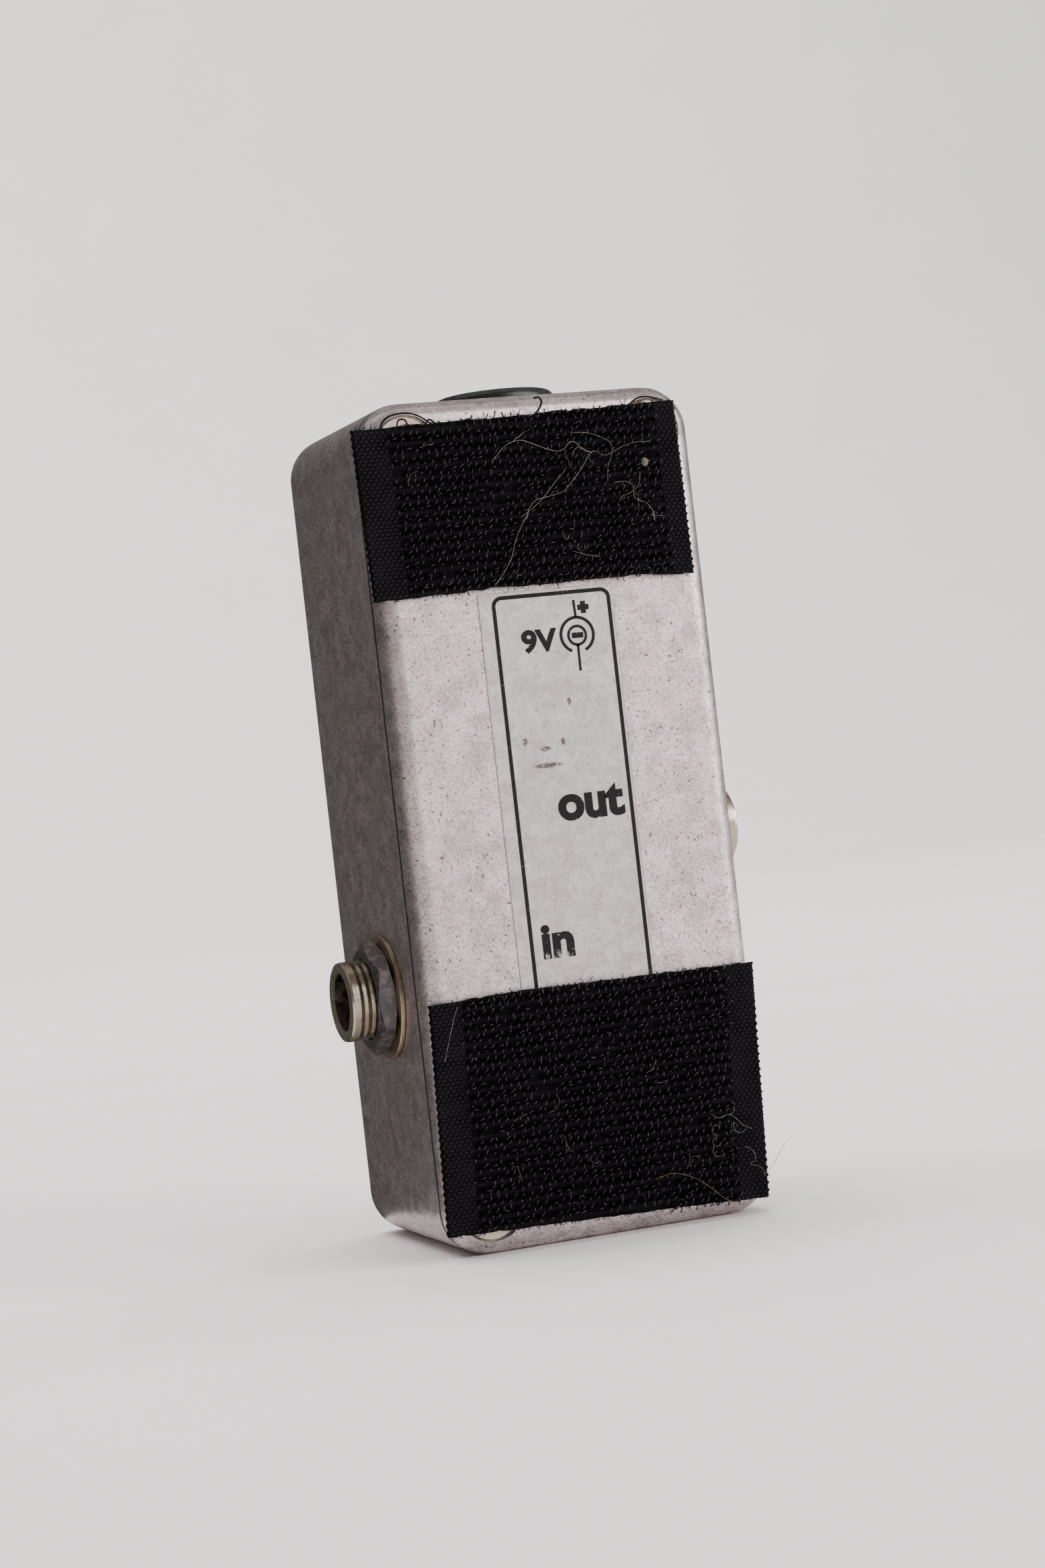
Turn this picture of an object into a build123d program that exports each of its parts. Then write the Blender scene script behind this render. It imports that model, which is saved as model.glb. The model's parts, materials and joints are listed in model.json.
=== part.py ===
from build123d import *
import os
from math import cos, radians, sin

# Small direct injection box in a die-cast enclosure, standing on one end.
# +Z runs up the long side, the screwed base lid faces -Y, and the origin is the
# middle of the end that the box stands on. All lengths are in millimetres.

os.makedirs("parts", exist_ok=True)

# --- Enclosure -------------------------------------------------------------
box_width = 38.5
box_depth = 31.0
box_length = 92.6
wall = 2.0
corner_radius = 5.0
case_edge_radius = 2.4
lid_thickness = 2.6
lid_edge_radius = 2.3
seam_chamfer = 0.12
lid_lip_height = 1.6
lid_lip_width = 1.4
lid_lip_clearance = 0.2

half_width = box_width / 2
mid_z = box_length / 2
front_y = -box_depth / 2
back_y = box_depth / 2
seam_y = front_y + lid_thickness
floor_y = back_y - wall
cavity_width = box_width - 2 * wall
cavity_length = box_length - 2 * wall
cavity_radius = corner_radius - wall

# --- Lid screws: four countersunk M3.5 ---------------------------------------
screw_spacing_x = 28.6
screw_spacing_z = 82.8
screw_radius = 1.70
screw_length = 11.0
screw_head_radius = 3.15
screw_sink = 0.15
screw_pitch = 0.60
countersink_radius = 3.60
clearance_radius = 1.95
boss_radius = 3.7
boss_hole_depth = 12.0

# --- Quarter-inch jacks with M9 bushings --------------------------------------
jack_y = -1.9
input_z = 28.3
output_z = 42.9
jack_hole_radius = 4.75
bushing_length = 7.4
bushing_radius = 4.45
bushing_end_radius = 4.10
bushing_collar = 0.9
bushing_bore = 3.20
bushing_chamfer = 0.30
thread_pitch = 0.75
thread_depth = 0.40
shoulder_radius = 6.0
shoulder_thickness = 1.2
spigot_radius = 4.90
jack_washer_radius = 6.9
jack_washer_thickness = 0.55
jack_nut_flats = 11.0
jack_nut_thickness = 1.95
nut_chamfer = 0.45
insulator_thickness = 1.1
frame_thickness = 1.2
frame_half_width = 6.5
frame_reach = 8.2
frame_length = 15.0
arm_half_width = 4.0
leaf_thickness = 0.4
leaf_width = 5.0
wafer_thickness = 0.8
stack_start = 3.4
stack_length = 6.0
lug_width = 2.0
lug_reach = 4.0
eyelet_radius = 0.6
rivet_radius = 0.8
rivet_spread = 2.2
tip_contact = 27.3
ring_contact = 20.5

# --- Power socket -------------------------------------------------------------
dc_x = 1.8
dc_flange_radius = 7.0
dc_flange_height = 1.95
dc_flange_round = 1.0
dc_barrel_radius = 5.85
dc_barrel_depth = 11.0
dc_cavity_radius = 3.15
dc_cavity_depth = 7.6
dc_pin_radius = 1.05
dc_neck_radius = 0.70
dc_lug_length = 4.0
dc_nut_flats = 14.0
dc_nut_thickness = 2.0

# --- Ground-lift toggle and status light on the back --------------------------
toggle_z = 13.0
toggle_radius = 3.0
toggle_bore = 1.9
toggle_washer_thickness = 0.5
toggle_nut_flats = 8.0
toggle_nut_thickness = 1.8
toggle_nut_chamfer = 0.4
toggle_reach = 6.0
toggle_tilt = 12.0
toggle_pivot = 1.0
toggle_body_width = 13.0
toggle_body_height = 8.0
toggle_body_depth = 9.0
toggle_lug_pitch = 4.7
led_z = 64.0
led_radius = 2.5
bezel_radius = 3.95
bezel_flange_radius = 4.7

# --- Circuit board ------------------------------------------------------------
board_bottom = 19.5
board_top = 75.5
board_width = 32.0
board_thickness = 1.6
board_y = 8.6
board_back_y = board_y + board_thickness
standoff_x = 13.0
standoff_low_z = 23.0
standoff_high_z = 72.0
wire_radius = 0.55
wire_bend = 1.3

# --- Stuck-on pieces of the base ----------------------------------------------
film_thickness = 0.08
tape_thickness = 2.0


def across(y):
    """Plane across the box at depth y, centred at mid-length; extrusions run towards the lid."""
    return Plane(origin=(0, y, mid_z), x_dir=(1, 0, 0), z_dir=(0, -1, 0))


def screw_thread(radius, depth, pitch, start, end):
    """Zigzag of (radius, position) points for turned thread ridges between two positions."""
    turns = int(abs(end - start) / pitch)
    step = (end - start) / turns
    points = []
    for turn in range(turns):
        points.append((radius, start + turn * step))
        points.append((radius, start + (turn + 0.25) * step))
        points.append((radius - depth, start + (turn + 0.5) * step))
        points.append((radius, start + (turn + 0.75) * step))
    points.append((radius, end))
    return points


# ===== Enclosure =====
with BuildPart() as enclosure_body:
    with BuildSketch(across(back_y)):
        RectangleRounded(box_width, box_length, corner_radius)
    extrude(amount=back_y - seam_y)
    fillet(enclosure_body.faces().sort_by(Axis.Y)[-1].edges(), case_edge_radius)
    chamfer(enclosure_body.faces().sort_by(Axis.Y)[0].edges(), seam_chamfer)
    with BuildSketch(across(floor_y)):
        RectangleRounded(cavity_width, cavity_length, cavity_radius)
    extrude(amount=floor_y - seam_y, mode=Mode.SUBTRACT)
    with BuildSketch(across(floor_y)):
        with GridLocations(screw_spacing_x, screw_spacing_z, 2, 2):
            Circle(boss_radius)
    extrude(amount=floor_y - seam_y)
    with BuildSketch(across(seam_y + boss_hole_depth)):
        with GridLocations(screw_spacing_x, screw_spacing_z, 2, 2):
            Circle(screw_radius + 0.05)
    extrude(amount=boss_hole_depth, mode=Mode.SUBTRACT)
    # Jack holes through the two long sides.
    with BuildSketch(Plane.YZ.offset(-half_width - 1)):
        with Locations((jack_y, input_z)):
            Circle(jack_hole_radius)
    extrude(amount=wall + 2, mode=Mode.SUBTRACT)
    with BuildSketch(Plane.YZ.offset(half_width - wall - 1)):
        with Locations((jack_y, output_z)):
            Circle(jack_hole_radius)
    extrude(amount=wall + 2, mode=Mode.SUBTRACT)
    # Power socket hole through the upper end.
    with BuildSketch(Plane.XY.offset(box_length - wall - 1)):
        with Locations((dc_x, 0)):
            Circle(dc_barrel_radius + 0.15)
    extrude(amount=wall + 2, mode=Mode.SUBTRACT)
    # Toggle and status light holes through the back.
    with BuildSketch(across(back_y + 1)):
        with Locations((0, toggle_z - mid_z)):
            Circle(toggle_radius + 0.1)
        with Locations((0, led_z - mid_z)):
            Circle(bezel_radius + 0.05)
    extrude(amount=wall + 2, mode=Mode.SUBTRACT)
enclosure_body.part.label = "enclosure_body"
export_step(enclosure_body.part, "parts/enclosure_body.step")

with BuildPart() as base_lid:
    with BuildSketch(across(seam_y)):
        RectangleRounded(box_width, box_length, corner_radius)
    extrude(amount=lid_thickness)
    fillet(base_lid.faces().sort_by(Axis.Y)[0].edges(), lid_edge_radius)
    chamfer(base_lid.faces().sort_by(Axis.Y)[-1].edges(), seam_chamfer)
    # Locating lip that drops inside the walls and stops short of the screw bosses.
    lip_gap = 2 * lid_lip_clearance
    lip_inset = lip_gap + 2 * lid_lip_width
    with BuildSketch(across(seam_y + lid_lip_height)):
        RectangleRounded(
            cavity_width - lip_gap, cavity_length - lip_gap, cavity_radius - lid_lip_clearance
        )
        RectangleRounded(
            cavity_width - lip_inset,
            cavity_length - lip_inset,
            cavity_radius - lid_lip_clearance - lid_lip_width,
            mode=Mode.SUBTRACT,
        )
        with GridLocations(screw_spacing_x, screw_spacing_z, 2, 2):
            Circle(boss_radius + 0.4, mode=Mode.SUBTRACT)
    extrude(amount=lid_lip_height)
    with Locations(across(front_y)):
        with GridLocations(screw_spacing_x, screw_spacing_z, 2, 2):
            CounterSinkHole(clearance_radius, countersink_radius, counter_sink_angle=90)
base_lid.part.label = "base_lid"
export_step(base_lid.part, "parts/base_lid.step")

# One countersunk screw about its own axis, with its head's top face at height 0.
with BuildPart() as one_screw:
    head_land = 0.25
    cone_foot = -head_land - (screw_head_radius - screw_radius)
    with BuildSketch(Plane.XZ):
        with BuildLine():
            Polyline(
                (0, 0),
                (screw_head_radius, 0),
                (screw_head_radius, -head_land),
                *screw_thread(screw_radius, 0.25, screw_pitch, cone_foot, -screw_length + 0.8),
                (screw_radius - 0.7, -screw_length),
                (0, -screw_length),
                close=True,
            )
        make_face()
    revolve(axis=Axis.Z)
    # Cross recess.
    with BuildSketch(Plane.XY):
        Rectangle(3.6, 0.85)
        Rectangle(0.85, 3.6)
    extrude(amount=-1.3, taper=12, mode=Mode.SUBTRACT)

with BuildPart() as lid_screws:
    with Locations(across(front_y + screw_sink)):
        with GridLocations(screw_spacing_x, screw_spacing_z, 2, 2):
            add(one_screw.part)
lid_screws.part.label = "lid_screws"
export_step(lid_screws.part, "parts/lid_screws.step")

# ===== Label film and hook tapes on the base =====
film_left = -8.1
film_right = 7.6
film_top = 71.1
film_bottom = 24.0
with BuildPart() as label_film:
    with BuildSketch(across(front_y)):
        with Locations(((film_left + film_right) / 2, (film_top + film_bottom) / 2 - mid_z)):
            Rectangle(film_right - film_left, film_top - film_bottom)
    extrude(amount=film_thickness)
label_film.part.label = "label_film"
export_step(label_film.part, "parts/label_film.step")

# Hand-cut pieces of hook tape, with their corners as (x, z), from the lower left round.
with BuildPart() as hook_tape_upper:
    with BuildSketch(Plane.XZ.offset(-front_y)):
        with BuildLine():
            Polyline(
                (-19.9, 71.15), (-6.0, 71.6), (11.0, 71.6), (17.3, 71.3), (17.1, 90.6), (-20.4, 89.7),
                close=True,
            )
        make_face()
    extrude(amount=tape_thickness)
hook_tape_upper.part.label = "hook_tape_upper"
export_step(hook_tape_upper.part, "parts/hook_tape_upper.step")

with BuildPart() as hook_tape_lower:
    with BuildSketch(Plane.XZ.offset(-front_y)):
        with BuildLine():
            Polyline(
                (-19.7, 2.8), (17.9, 1.6), (19.0, 27.65), (-8.0, 27.95), (-18.9, 27.7), close=True
            )
        make_face()
    extrude(amount=tape_thickness)
    # The adhesive side steps over the label film.
    with BuildSketch(across(front_y)):
        with Locations(((film_left + film_right) / 2, (film_top + film_bottom) / 2 - mid_z)):
            Rectangle(film_right - film_left + 0.1, film_top - film_bottom + 0.1)
    extrude(amount=film_thickness + 0.02, mode=Mode.SUBTRACT)
hook_tape_lower.part.label = "hook_tape_lower"
export_step(hook_tape_lower.part, "parts/hook_tape_lower.step")


# ===== Quarter-inch jacks =====
def leaf_strip(profile_plane, points, width, bend):
    """Bent flat spring: a centre line of (height, position) points, given thickness and width."""
    with BuildPart() as leaf:
        with BuildSketch(profile_plane):
            with BuildLine():
                FilletPolyline(*points, radius=bend)
            trace(line_width=leaf_thickness)
        extrude(amount=width / 2, both=True)
    return leaf.part


def build_jack(name, origin, inward, stack_side, gasket, stereo):
    """One open-frame jack.

    Its local frame has z running inward from the outer wall face and x towards
    the contact stack. A gasket thickness sets the bushing's shoulder off the wall.
    """
    place = Plane(origin=origin, x_dir=stack_side, z_dir=inward)
    side = Plane(origin=origin, x_dir=stack_side, z_dir=-place.y_dir)
    axis = Axis(origin, inward)
    seat = wall + gasket
    reach = bushing_length - seat
    plate_z = seat + shoulder_thickness
    spigot_end = plate_z + frame_thickness + 0.2

    with BuildPart() as bushing:
        with BuildSketch(side):
            with BuildLine():
                Polyline(
                    (bushing_bore + bushing_chamfer, -reach),
                    (bushing_end_radius, -reach),
                    (bushing_radius - 0.08, -reach + 0.15),
                    (bushing_radius, -reach + 0.4),
                    *screw_thread(
                        bushing_radius, thread_depth, thread_pitch, -reach + bushing_collar, seat
                    ),
                    (shoulder_radius, seat),
                    (shoulder_radius, plate_z),
                    (spigot_radius, plate_z),
                    (spigot_radius, spigot_end),
                    (bushing_bore, spigot_end),
                    (bushing_bore, -reach + bushing_chamfer),
                    close=True,
                )
            make_face()
        revolve(axis=axis)
    bushing.part.label = f"{name}_bushing"
    export_step(bushing.part, f"parts/{name}_bushing.step")

    with BuildPart() as washer:
        with BuildSketch(place):
            Circle(jack_washer_radius)
            Circle(jack_hole_radius, mode=Mode.SUBTRACT)
        extrude(amount=-jack_washer_thickness)
        fillet(washer.edges().filter_by(GeomType.CIRCLE).sort_by(SortBy.RADIUS)[-2:], 0.12)
    washer.part.label = f"{name}_washer"
    export_step(washer.part, f"parts/{name}_washer.step")

    nut_outer = jack_nut_flats / 2 / cos(radians(30))
    nut_low = -jack_washer_thickness
    nut_high = nut_low - jack_nut_thickness
    with BuildPart() as nut:
        with BuildSketch(place.offset(nut_low)):
            RegularPolygon(nut_outer, 6)
            Circle(bushing_radius + 0.08, mode=Mode.SUBTRACT)
        extrude(amount=-jack_nut_thickness)
        # Turned chamfers on both faces take the six corners down.
        with BuildSketch(side):
            with BuildLine():
                Polyline(
                    (0, nut_low),
                    (nut_outer - 2 * nut_chamfer, nut_low),
                    (nut_outer, nut_low - nut_chamfer),
                    (nut_outer, nut_high + nut_chamfer),
                    (nut_outer - 2 * nut_chamfer, nut_high),
                    (0, nut_high),
                    close=True,
                )
            make_face()
        revolve(axis=axis, mode=Mode.INTERSECT)
    nut.part.label = f"{name}_nut"
    export_step(nut.part, f"parts/{name}_nut.step")

    # Stamped frame: a plate behind the shoulder, and an arm that carries the contacts.
    arm_inner = frame_reach - frame_thickness
    with BuildPart() as frame:
        with BuildSketch(place.offset(plate_z)):
            with Locations(((frame_reach - frame_half_width) / 2, 0)):
                Rectangle(frame_reach + frame_half_width, 2 * frame_half_width)
            Circle(spigot_radius + 0.05, mode=Mode.SUBTRACT)
        extrude(amount=frame_thickness)
        with BuildSketch(place.offset(plate_z)):
            with Locations((frame_reach - frame_thickness / 2, 0)):
                Rectangle(frame_thickness, 2 * arm_half_width)
        extrude(amount=frame_length - shoulder_thickness)
        lug_z = seat + frame_length - lug_width
        with BuildSketch(place.offset(lug_z)):
            with Locations((frame_reach - frame_thickness / 2, arm_half_width + lug_reach / 2)):
                Rectangle(frame_thickness, lug_reach)
        extrude(amount=lug_width)
        with BuildSketch(Plane(origin=origin, x_dir=inward, z_dir=stack_side).offset(arm_inner)):
            with Locations((seat + stack_start + stack_length / 2, 0)):
                with Locations((0, -rivet_spread), (0, rivet_spread)):
                    Circle(rivet_radius + 0.03)
        extrude(amount=frame_thickness, mode=Mode.SUBTRACT)
    frame.part.label = f"{name}_frame"
    export_step(frame.part, f"parts/{name}_frame.step")

    # Contact stack, counted from the arm down towards the plug's path.
    flat = Plane(origin=origin, x_dir=inward, z_dir=stack_side)
    contacts = ["tip", "ring"] if stereo else ["tip"]
    layer = wafer_thickness + leaf_thickness
    stack_mid = seat + stack_start + stack_length / 2
    with BuildPart() as insulators:
        for count in range(len(contacts) + 1):
            with BuildSketch(flat.offset(arm_inner - count * layer)):
                with Locations((stack_mid, 0)):
                    Rectangle(stack_length, 2 * arm_half_width)
                    with Locations((0, -rivet_spread), (0, rivet_spread)):
                        Circle(rivet_radius + 0.03, mode=Mode.SUBTRACT)
            extrude(amount=-wafer_thickness)
    insulators.part.label = f"{name}_insulators"
    export_step(insulators.part, f"parts/{name}_insulators.step")

    stack_bottom = arm_inner - len(contacts) * layer - wafer_thickness
    with BuildPart() as rivets:
        with BuildSketch(flat.offset(stack_bottom)):
            with Locations((stack_mid, -rivet_spread), (stack_mid, rivet_spread)):
                Circle(rivet_radius)
        extrude(amount=frame_reach - stack_bottom)
        with BuildSketch(flat.offset(stack_bottom)):
            with Locations((stack_mid, -rivet_spread), (stack_mid, rivet_spread)):
                Circle(rivet_radius + 0.5)
        extrude(amount=-0.35)
        with BuildSketch(flat.offset(frame_reach)):
            with Locations((stack_mid, -rivet_spread), (stack_mid, rivet_spread)):
                Circle(rivet_radius + 0.5)
        extrude(amount=0.4)
    rivets.part.label = f"{name}_rivets"
    export_step(rivets.part, f"parts/{name}_rivets.step")

    for count, contact in enumerate(contacts):
        level = arm_inner - wafer_thickness - count * layer - leaf_thickness / 2
        lug_mid = stack_mid - 1.6 + 3.0 * count
        root = seat + stack_start
        # Clamped root of the contact, with its solder lug out to one side.
        with BuildPart() as terminal:
            with BuildSketch(flat.offset(level - leaf_thickness / 2)):
                with Locations((stack_mid, 0)):
                    Rectangle(stack_length, 2 * arm_half_width - 0.6)
                with Locations((lug_mid, arm_half_width + lug_reach / 2 - 0.4)):
                    Rectangle(lug_width, lug_reach + 0.8)
                with Locations((stack_mid, -rivet_spread), (stack_mid, rivet_spread)):
                    Circle(rivet_radius + 0.45, mode=Mode.SUBTRACT)
                with Locations((lug_mid, arm_half_width + lug_reach - 1.6)):
                    Circle(eyelet_radius, mode=Mode.SUBTRACT)
            extrude(amount=leaf_thickness)
        terminal.part.label = f"{name}_{contact}_terminal"
        export_step(terminal.part, f"parts/{name}_{contact}_terminal.step")

        # Free length of the leaf, from the stack's edge to its contact bend on the plug.
        leaf_start = root + stack_length + 0.12
        touch = (tip_contact if contact == "tip" else ring_contact) - reach
        dip = 2.55 if contact == "tip" else 2.85
        spring = leaf_strip(
            side,
            [(level, leaf_start), (level, touch - 2.4), (dip, touch), (level - 0.5, touch + 2.0)],
            leaf_width,
            0.6,
        )
        spring.label = f"{name}_{contact}_spring"
        export_step(spring, f"parts/{name}_{contact}_spring.step")


build_jack("input_jack", (-half_width, jack_y, input_z), (1, 0, 0), (0, 0, -1), 0, False)
build_jack(
    "output_jack", (half_width, jack_y, output_z), (-1, 0, 0), (0, 0, 1), insulator_thickness, True
)

# Fibre washer that keeps the output's sleeve off the chassis.
with BuildPart() as output_jack_gasket:
    with BuildSketch(Plane.YZ.offset(half_width - wall - insulator_thickness)):
        with Locations((jack_y, output_z)):
            Circle(jack_washer_radius)
            Circle(bushing_radius + 0.08, mode=Mode.SUBTRACT)
    extrude(amount=insulator_thickness)
output_jack_gasket.part.label = "output_jack_gasket"
export_step(output_jack_gasket.part, "parts/output_jack_gasket.step")

# ===== Power socket on the upper end =====
dc_place = Plane(origin=(dc_x, 0, box_length), x_dir=(1, 0, 0), z_dir=(0, 0, 1))
dc_side = Plane(origin=(dc_x, 0, box_length), x_dir=(1, 0, 0), z_dir=(0, -1, 0))
dc_axis = Axis((dc_x, 0, box_length), (0, 0, 1))

with BuildPart() as dc_jack_housing:
    with BuildSketch(dc_side):
        with BuildLine():
            Polyline(
                (dc_cavity_radius, -dc_cavity_depth),
                (dc_cavity_radius, dc_flange_height - 0.4),
                (dc_cavity_radius + 0.4, dc_flange_height),
                (dc_flange_radius, dc_flange_height),
                (dc_flange_radius, 0),
                (dc_barrel_radius, 0),
                *screw_thread(dc_barrel_radius, 0.3, 0.9, -0.5, -dc_barrel_depth),
                (dc_neck_radius + 0.02, -dc_barrel_depth),
                (dc_neck_radius + 0.02, -dc_cavity_depth),
                close=True,
            )
        make_face()
    revolve(axis=dc_axis)
    rim = dc_jack_housing.edges().filter_by(GeomType.CIRCLE).group_by(Axis.Z)[-1]
    fillet(rim.sort_by(SortBy.RADIUS)[-1], dc_flange_round)
    # Slot in the cavity wall for the spring contact.
    with BuildSketch(dc_place.offset(-dc_cavity_depth - 0.3)):
        with Locations((dc_cavity_radius + 0.6, 0)):
            Rectangle(2.6, 2.8)
    extrude(amount=dc_cavity_depth, mode=Mode.SUBTRACT)
dc_jack_housing.part.label = "dc_jack_housing"
export_step(dc_jack_housing.part, "parts/dc_jack_housing.step")

with BuildPart() as dc_jack_nut:
    with BuildSketch(dc_place.offset(-wall - dc_nut_thickness)):
        RegularPolygon(dc_nut_flats / 2 / cos(radians(30)), 6)
        Circle(dc_barrel_radius + 0.08, mode=Mode.SUBTRACT)
    extrude(amount=dc_nut_thickness)
dc_jack_nut.part.label = "dc_jack_nut"
export_step(dc_jack_nut.part, "parts/dc_jack_nut.step")

with BuildPart() as dc_centre_pin:
    pin_top = dc_flange_height - 1.0
    with BuildSketch(dc_side):
        with BuildLine():
            Polyline(
                (0, pin_top),
                (dc_pin_radius - 0.35, pin_top),
                (dc_pin_radius, pin_top - 0.5),
                (dc_pin_radius, -dc_cavity_depth),
                (dc_neck_radius, -dc_cavity_depth),
                (dc_neck_radius, -dc_barrel_depth - 0.4),
                (0, -dc_barrel_depth - 0.4),
                close=True,
            )
        make_face()
    revolve(axis=dc_axis)
    with BuildSketch(dc_side.offset(-leaf_thickness / 2)):
        with Locations((0, -dc_barrel_depth - 0.2 - dc_lug_length / 2)):
            Rectangle(lug_width, dc_lug_length)
            with Locations((0, -0.8)):
                Circle(eyelet_radius, mode=Mode.SUBTRACT)
    extrude(amount=leaf_thickness)
dc_centre_pin.part.label = "dc_centre_pin"
export_step(dc_centre_pin.part, "parts/dc_centre_pin.step")

# Two more solder lugs, for the sleeve contact and its switched partner.
dc_lug_middle = -dc_barrel_depth - dc_lug_length / 2
with BuildPart() as dc_terminals:
    with BuildSketch(dc_side.offset(-leaf_thickness / 2)):
        with Locations((-4, dc_lug_middle), (4, dc_lug_middle)):
            Rectangle(lug_width, dc_lug_length)
            with Locations((0, -0.8)):
                Circle(eyelet_radius, mode=Mode.SUBTRACT)
    extrude(amount=leaf_thickness)
dc_terminals.part.label = "dc_terminals"
export_step(dc_terminals.part, "parts/dc_terminals.step")

# Bowed leaf that presses on the plug's outer sleeve.
with BuildPart() as dc_sleeve_spring:
    with BuildSketch(dc_side):
        with BuildLine():
            FilletPolyline(
                (3.75, -dc_cavity_depth - 0.25), (3.6, -6.2), (2.72, -3.9), (3.5, -1.6), radius=0.6
            )
        trace(line_width=0.25)
    extrude(amount=1.1, both=True)
dc_sleeve_spring.part.label = "dc_sleeve_spring"
export_step(dc_sleeve_spring.part, "parts/dc_sleeve_spring.step")

# ===== Ground-lift toggle on the back =====
toggle_place = Plane(origin=(0, back_y, toggle_z), x_dir=(1, 0, 0), z_dir=(0, 1, 0))
toggle_side = Plane(origin=(0, back_y, toggle_z), x_dir=(1, 0, 0), z_dir=(0, 0, 1))
toggle_axis = Axis((0, back_y, toggle_z), (0, 1, 0))
bracket_thickness = 0.5
body_top = -wall - bracket_thickness

with BuildPart() as toggle_body:
    with BuildSketch(toggle_place.offset(body_top)):
        Rectangle(toggle_body_width, toggle_body_height)
    extrude(amount=-toggle_body_depth)
    with BuildSketch(toggle_place.offset(body_top)):
        Rectangle(5.2, 2.6)
    extrude(amount=-2.6, mode=Mode.SUBTRACT)
toggle_body.part.label = "toggle_body"
export_step(toggle_body.part, "parts/toggle_body.step")

with BuildPart() as toggle_bracket:
    with BuildSketch(toggle_place.offset(-wall)):
        Rectangle(toggle_body_width, toggle_body_height + 1.1)
        Circle(toggle_radius + 0.05, mode=Mode.SUBTRACT)
    extrude(amount=-bracket_thickness)
    with BuildSketch(toggle_place.offset(-wall)):
        with Locations((0, toggle_body_height / 2 + 0.3), (0, -toggle_body_height / 2 - 0.3)):
            Rectangle(toggle_body_width - 3, bracket_thickness)
    extrude(amount=-7)
toggle_bracket.part.label = "toggle_bracket"
export_step(toggle_bracket.part, "parts/toggle_bracket.step")

with BuildPart() as toggle_bushing:
    with BuildSketch(toggle_side):
        with BuildLine():
            Polyline(
                (toggle_bore, body_top),
                *screw_thread(toggle_radius, 0.3, 0.7, body_top + 0.4, toggle_reach - 0.3),
                (toggle_radius - 0.3, toggle_reach),
                (toggle_bore + 0.65, toggle_reach),
                (toggle_bore, 2.6),
                close=True,
            )
        make_face()
    revolve(axis=toggle_axis)
toggle_bushing.part.label = "toggle_bushing"
export_step(toggle_bushing.part, "parts/toggle_bushing.step")

with BuildPart() as toggle_washer:
    with BuildSketch(toggle_place):
        Circle(4.9)
        Circle(toggle_radius + 0.1, mode=Mode.SUBTRACT)
        with PolarLocations(toggle_radius + 0.5, 12):
            Rectangle(0.9, 0.45, mode=Mode.SUBTRACT)
    extrude(amount=toggle_washer_thickness)
toggle_washer.part.label = "toggle_washer"
export_step(toggle_washer.part, "parts/toggle_washer.step")

with BuildPart() as toggle_nut:
    nut_outer = toggle_nut_flats / 2 / cos(radians(30))
    nut_face = toggle_washer_thickness + toggle_nut_thickness
    with BuildSketch(toggle_place.offset(toggle_washer_thickness)):
        RegularPolygon(nut_outer, 6)
        Circle(toggle_radius + 0.06, mode=Mode.SUBTRACT)
    extrude(amount=toggle_nut_thickness)
    with BuildSketch(toggle_side):
        with BuildLine():
            Polyline(
                (0, toggle_washer_thickness),
                (nut_outer, toggle_washer_thickness),
                (nut_outer, nut_face - toggle_nut_chamfer),
                (nut_outer - 0.7, nut_face),
                (0, nut_face),
                close=True,
            )
        make_face()
    revolve(axis=toggle_axis, mode=Mode.INTERSECT)
toggle_nut.part.label = "toggle_nut"
export_step(toggle_nut.part, "parts/toggle_nut.step")

# Lever at one of its two throws: ball pivot, tapered bat and the short driving tip inside.
throw = radians(toggle_tilt)
pivot = (0, back_y + toggle_pivot, toggle_z)
lever_side = Plane(origin=pivot, x_dir=(cos(throw), -sin(throw), 0), z_dir=(0, 0, 1))
with BuildPart() as toggle_lever:
    with BuildSketch(lever_side):
        with BuildLine():
            Polyline((0, -4.6), (0.6, -4.6), (0.8, -1.6))
            ThreePointArc((0.8, -1.6), (1.8, 0), (1.0, 1.5))
            Line((1.0, 1.5), (1.45, 11.6))
            CenterArc((0.45, 11.6), 1.0, 0, 90)
            Polyline((0.45, 12.6), (0, 12.6), (0, -4.6))
        make_face()
    revolve(axis=Axis(pivot, (sin(throw), cos(throw), 0)))
toggle_lever.part.label = "toggle_lever"
export_step(toggle_lever.part, "parts/toggle_lever.step")

with BuildPart() as toggle_terminals:
    lug_length = 3.5
    with BuildSketch(toggle_place.offset(body_top - toggle_body_depth)):
        with GridLocations(toggle_lug_pitch, 1, 3, 1):
            Rectangle(0.7, 1.9)
    extrude(amount=-lug_length)
    eyelet_y = back_y + body_top - toggle_body_depth - 2.6
    with BuildSketch(Plane(origin=(-10, eyelet_y, toggle_z), x_dir=(0, 1, 0), z_dir=(1, 0, 0))):
        Circle(0.5)
    extrude(amount=20, mode=Mode.SUBTRACT)
toggle_terminals.part.label = "toggle_terminals"
export_step(toggle_terminals.part, "parts/toggle_terminals.step")

# ===== Status light on the back =====
led_side = Plane(origin=(0, back_y, led_z), x_dir=(1, 0, 0), z_dir=(0, 0, 1))
led_axis = Axis((0, back_y, led_z), (0, 1, 0))

with BuildPart() as led_bezel:
    with BuildSketch(led_side):
        with BuildLine():
            Polyline(
                (led_radius + 0.08, -3.5),
                (bezel_radius, -3.5),
                (bezel_radius, 0),
                (bezel_flange_radius, 0),
                (bezel_flange_radius, 0.7),
                (bezel_flange_radius - 0.6, 1.3),
                (led_radius + 0.5, 1.3),
                (led_radius + 0.08, 0.9),
                close=True,
            )
        make_face()
    revolve(axis=led_axis)
led_bezel.part.label = "led_bezel"
export_step(led_bezel.part, "parts/led_bezel.step")

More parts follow.
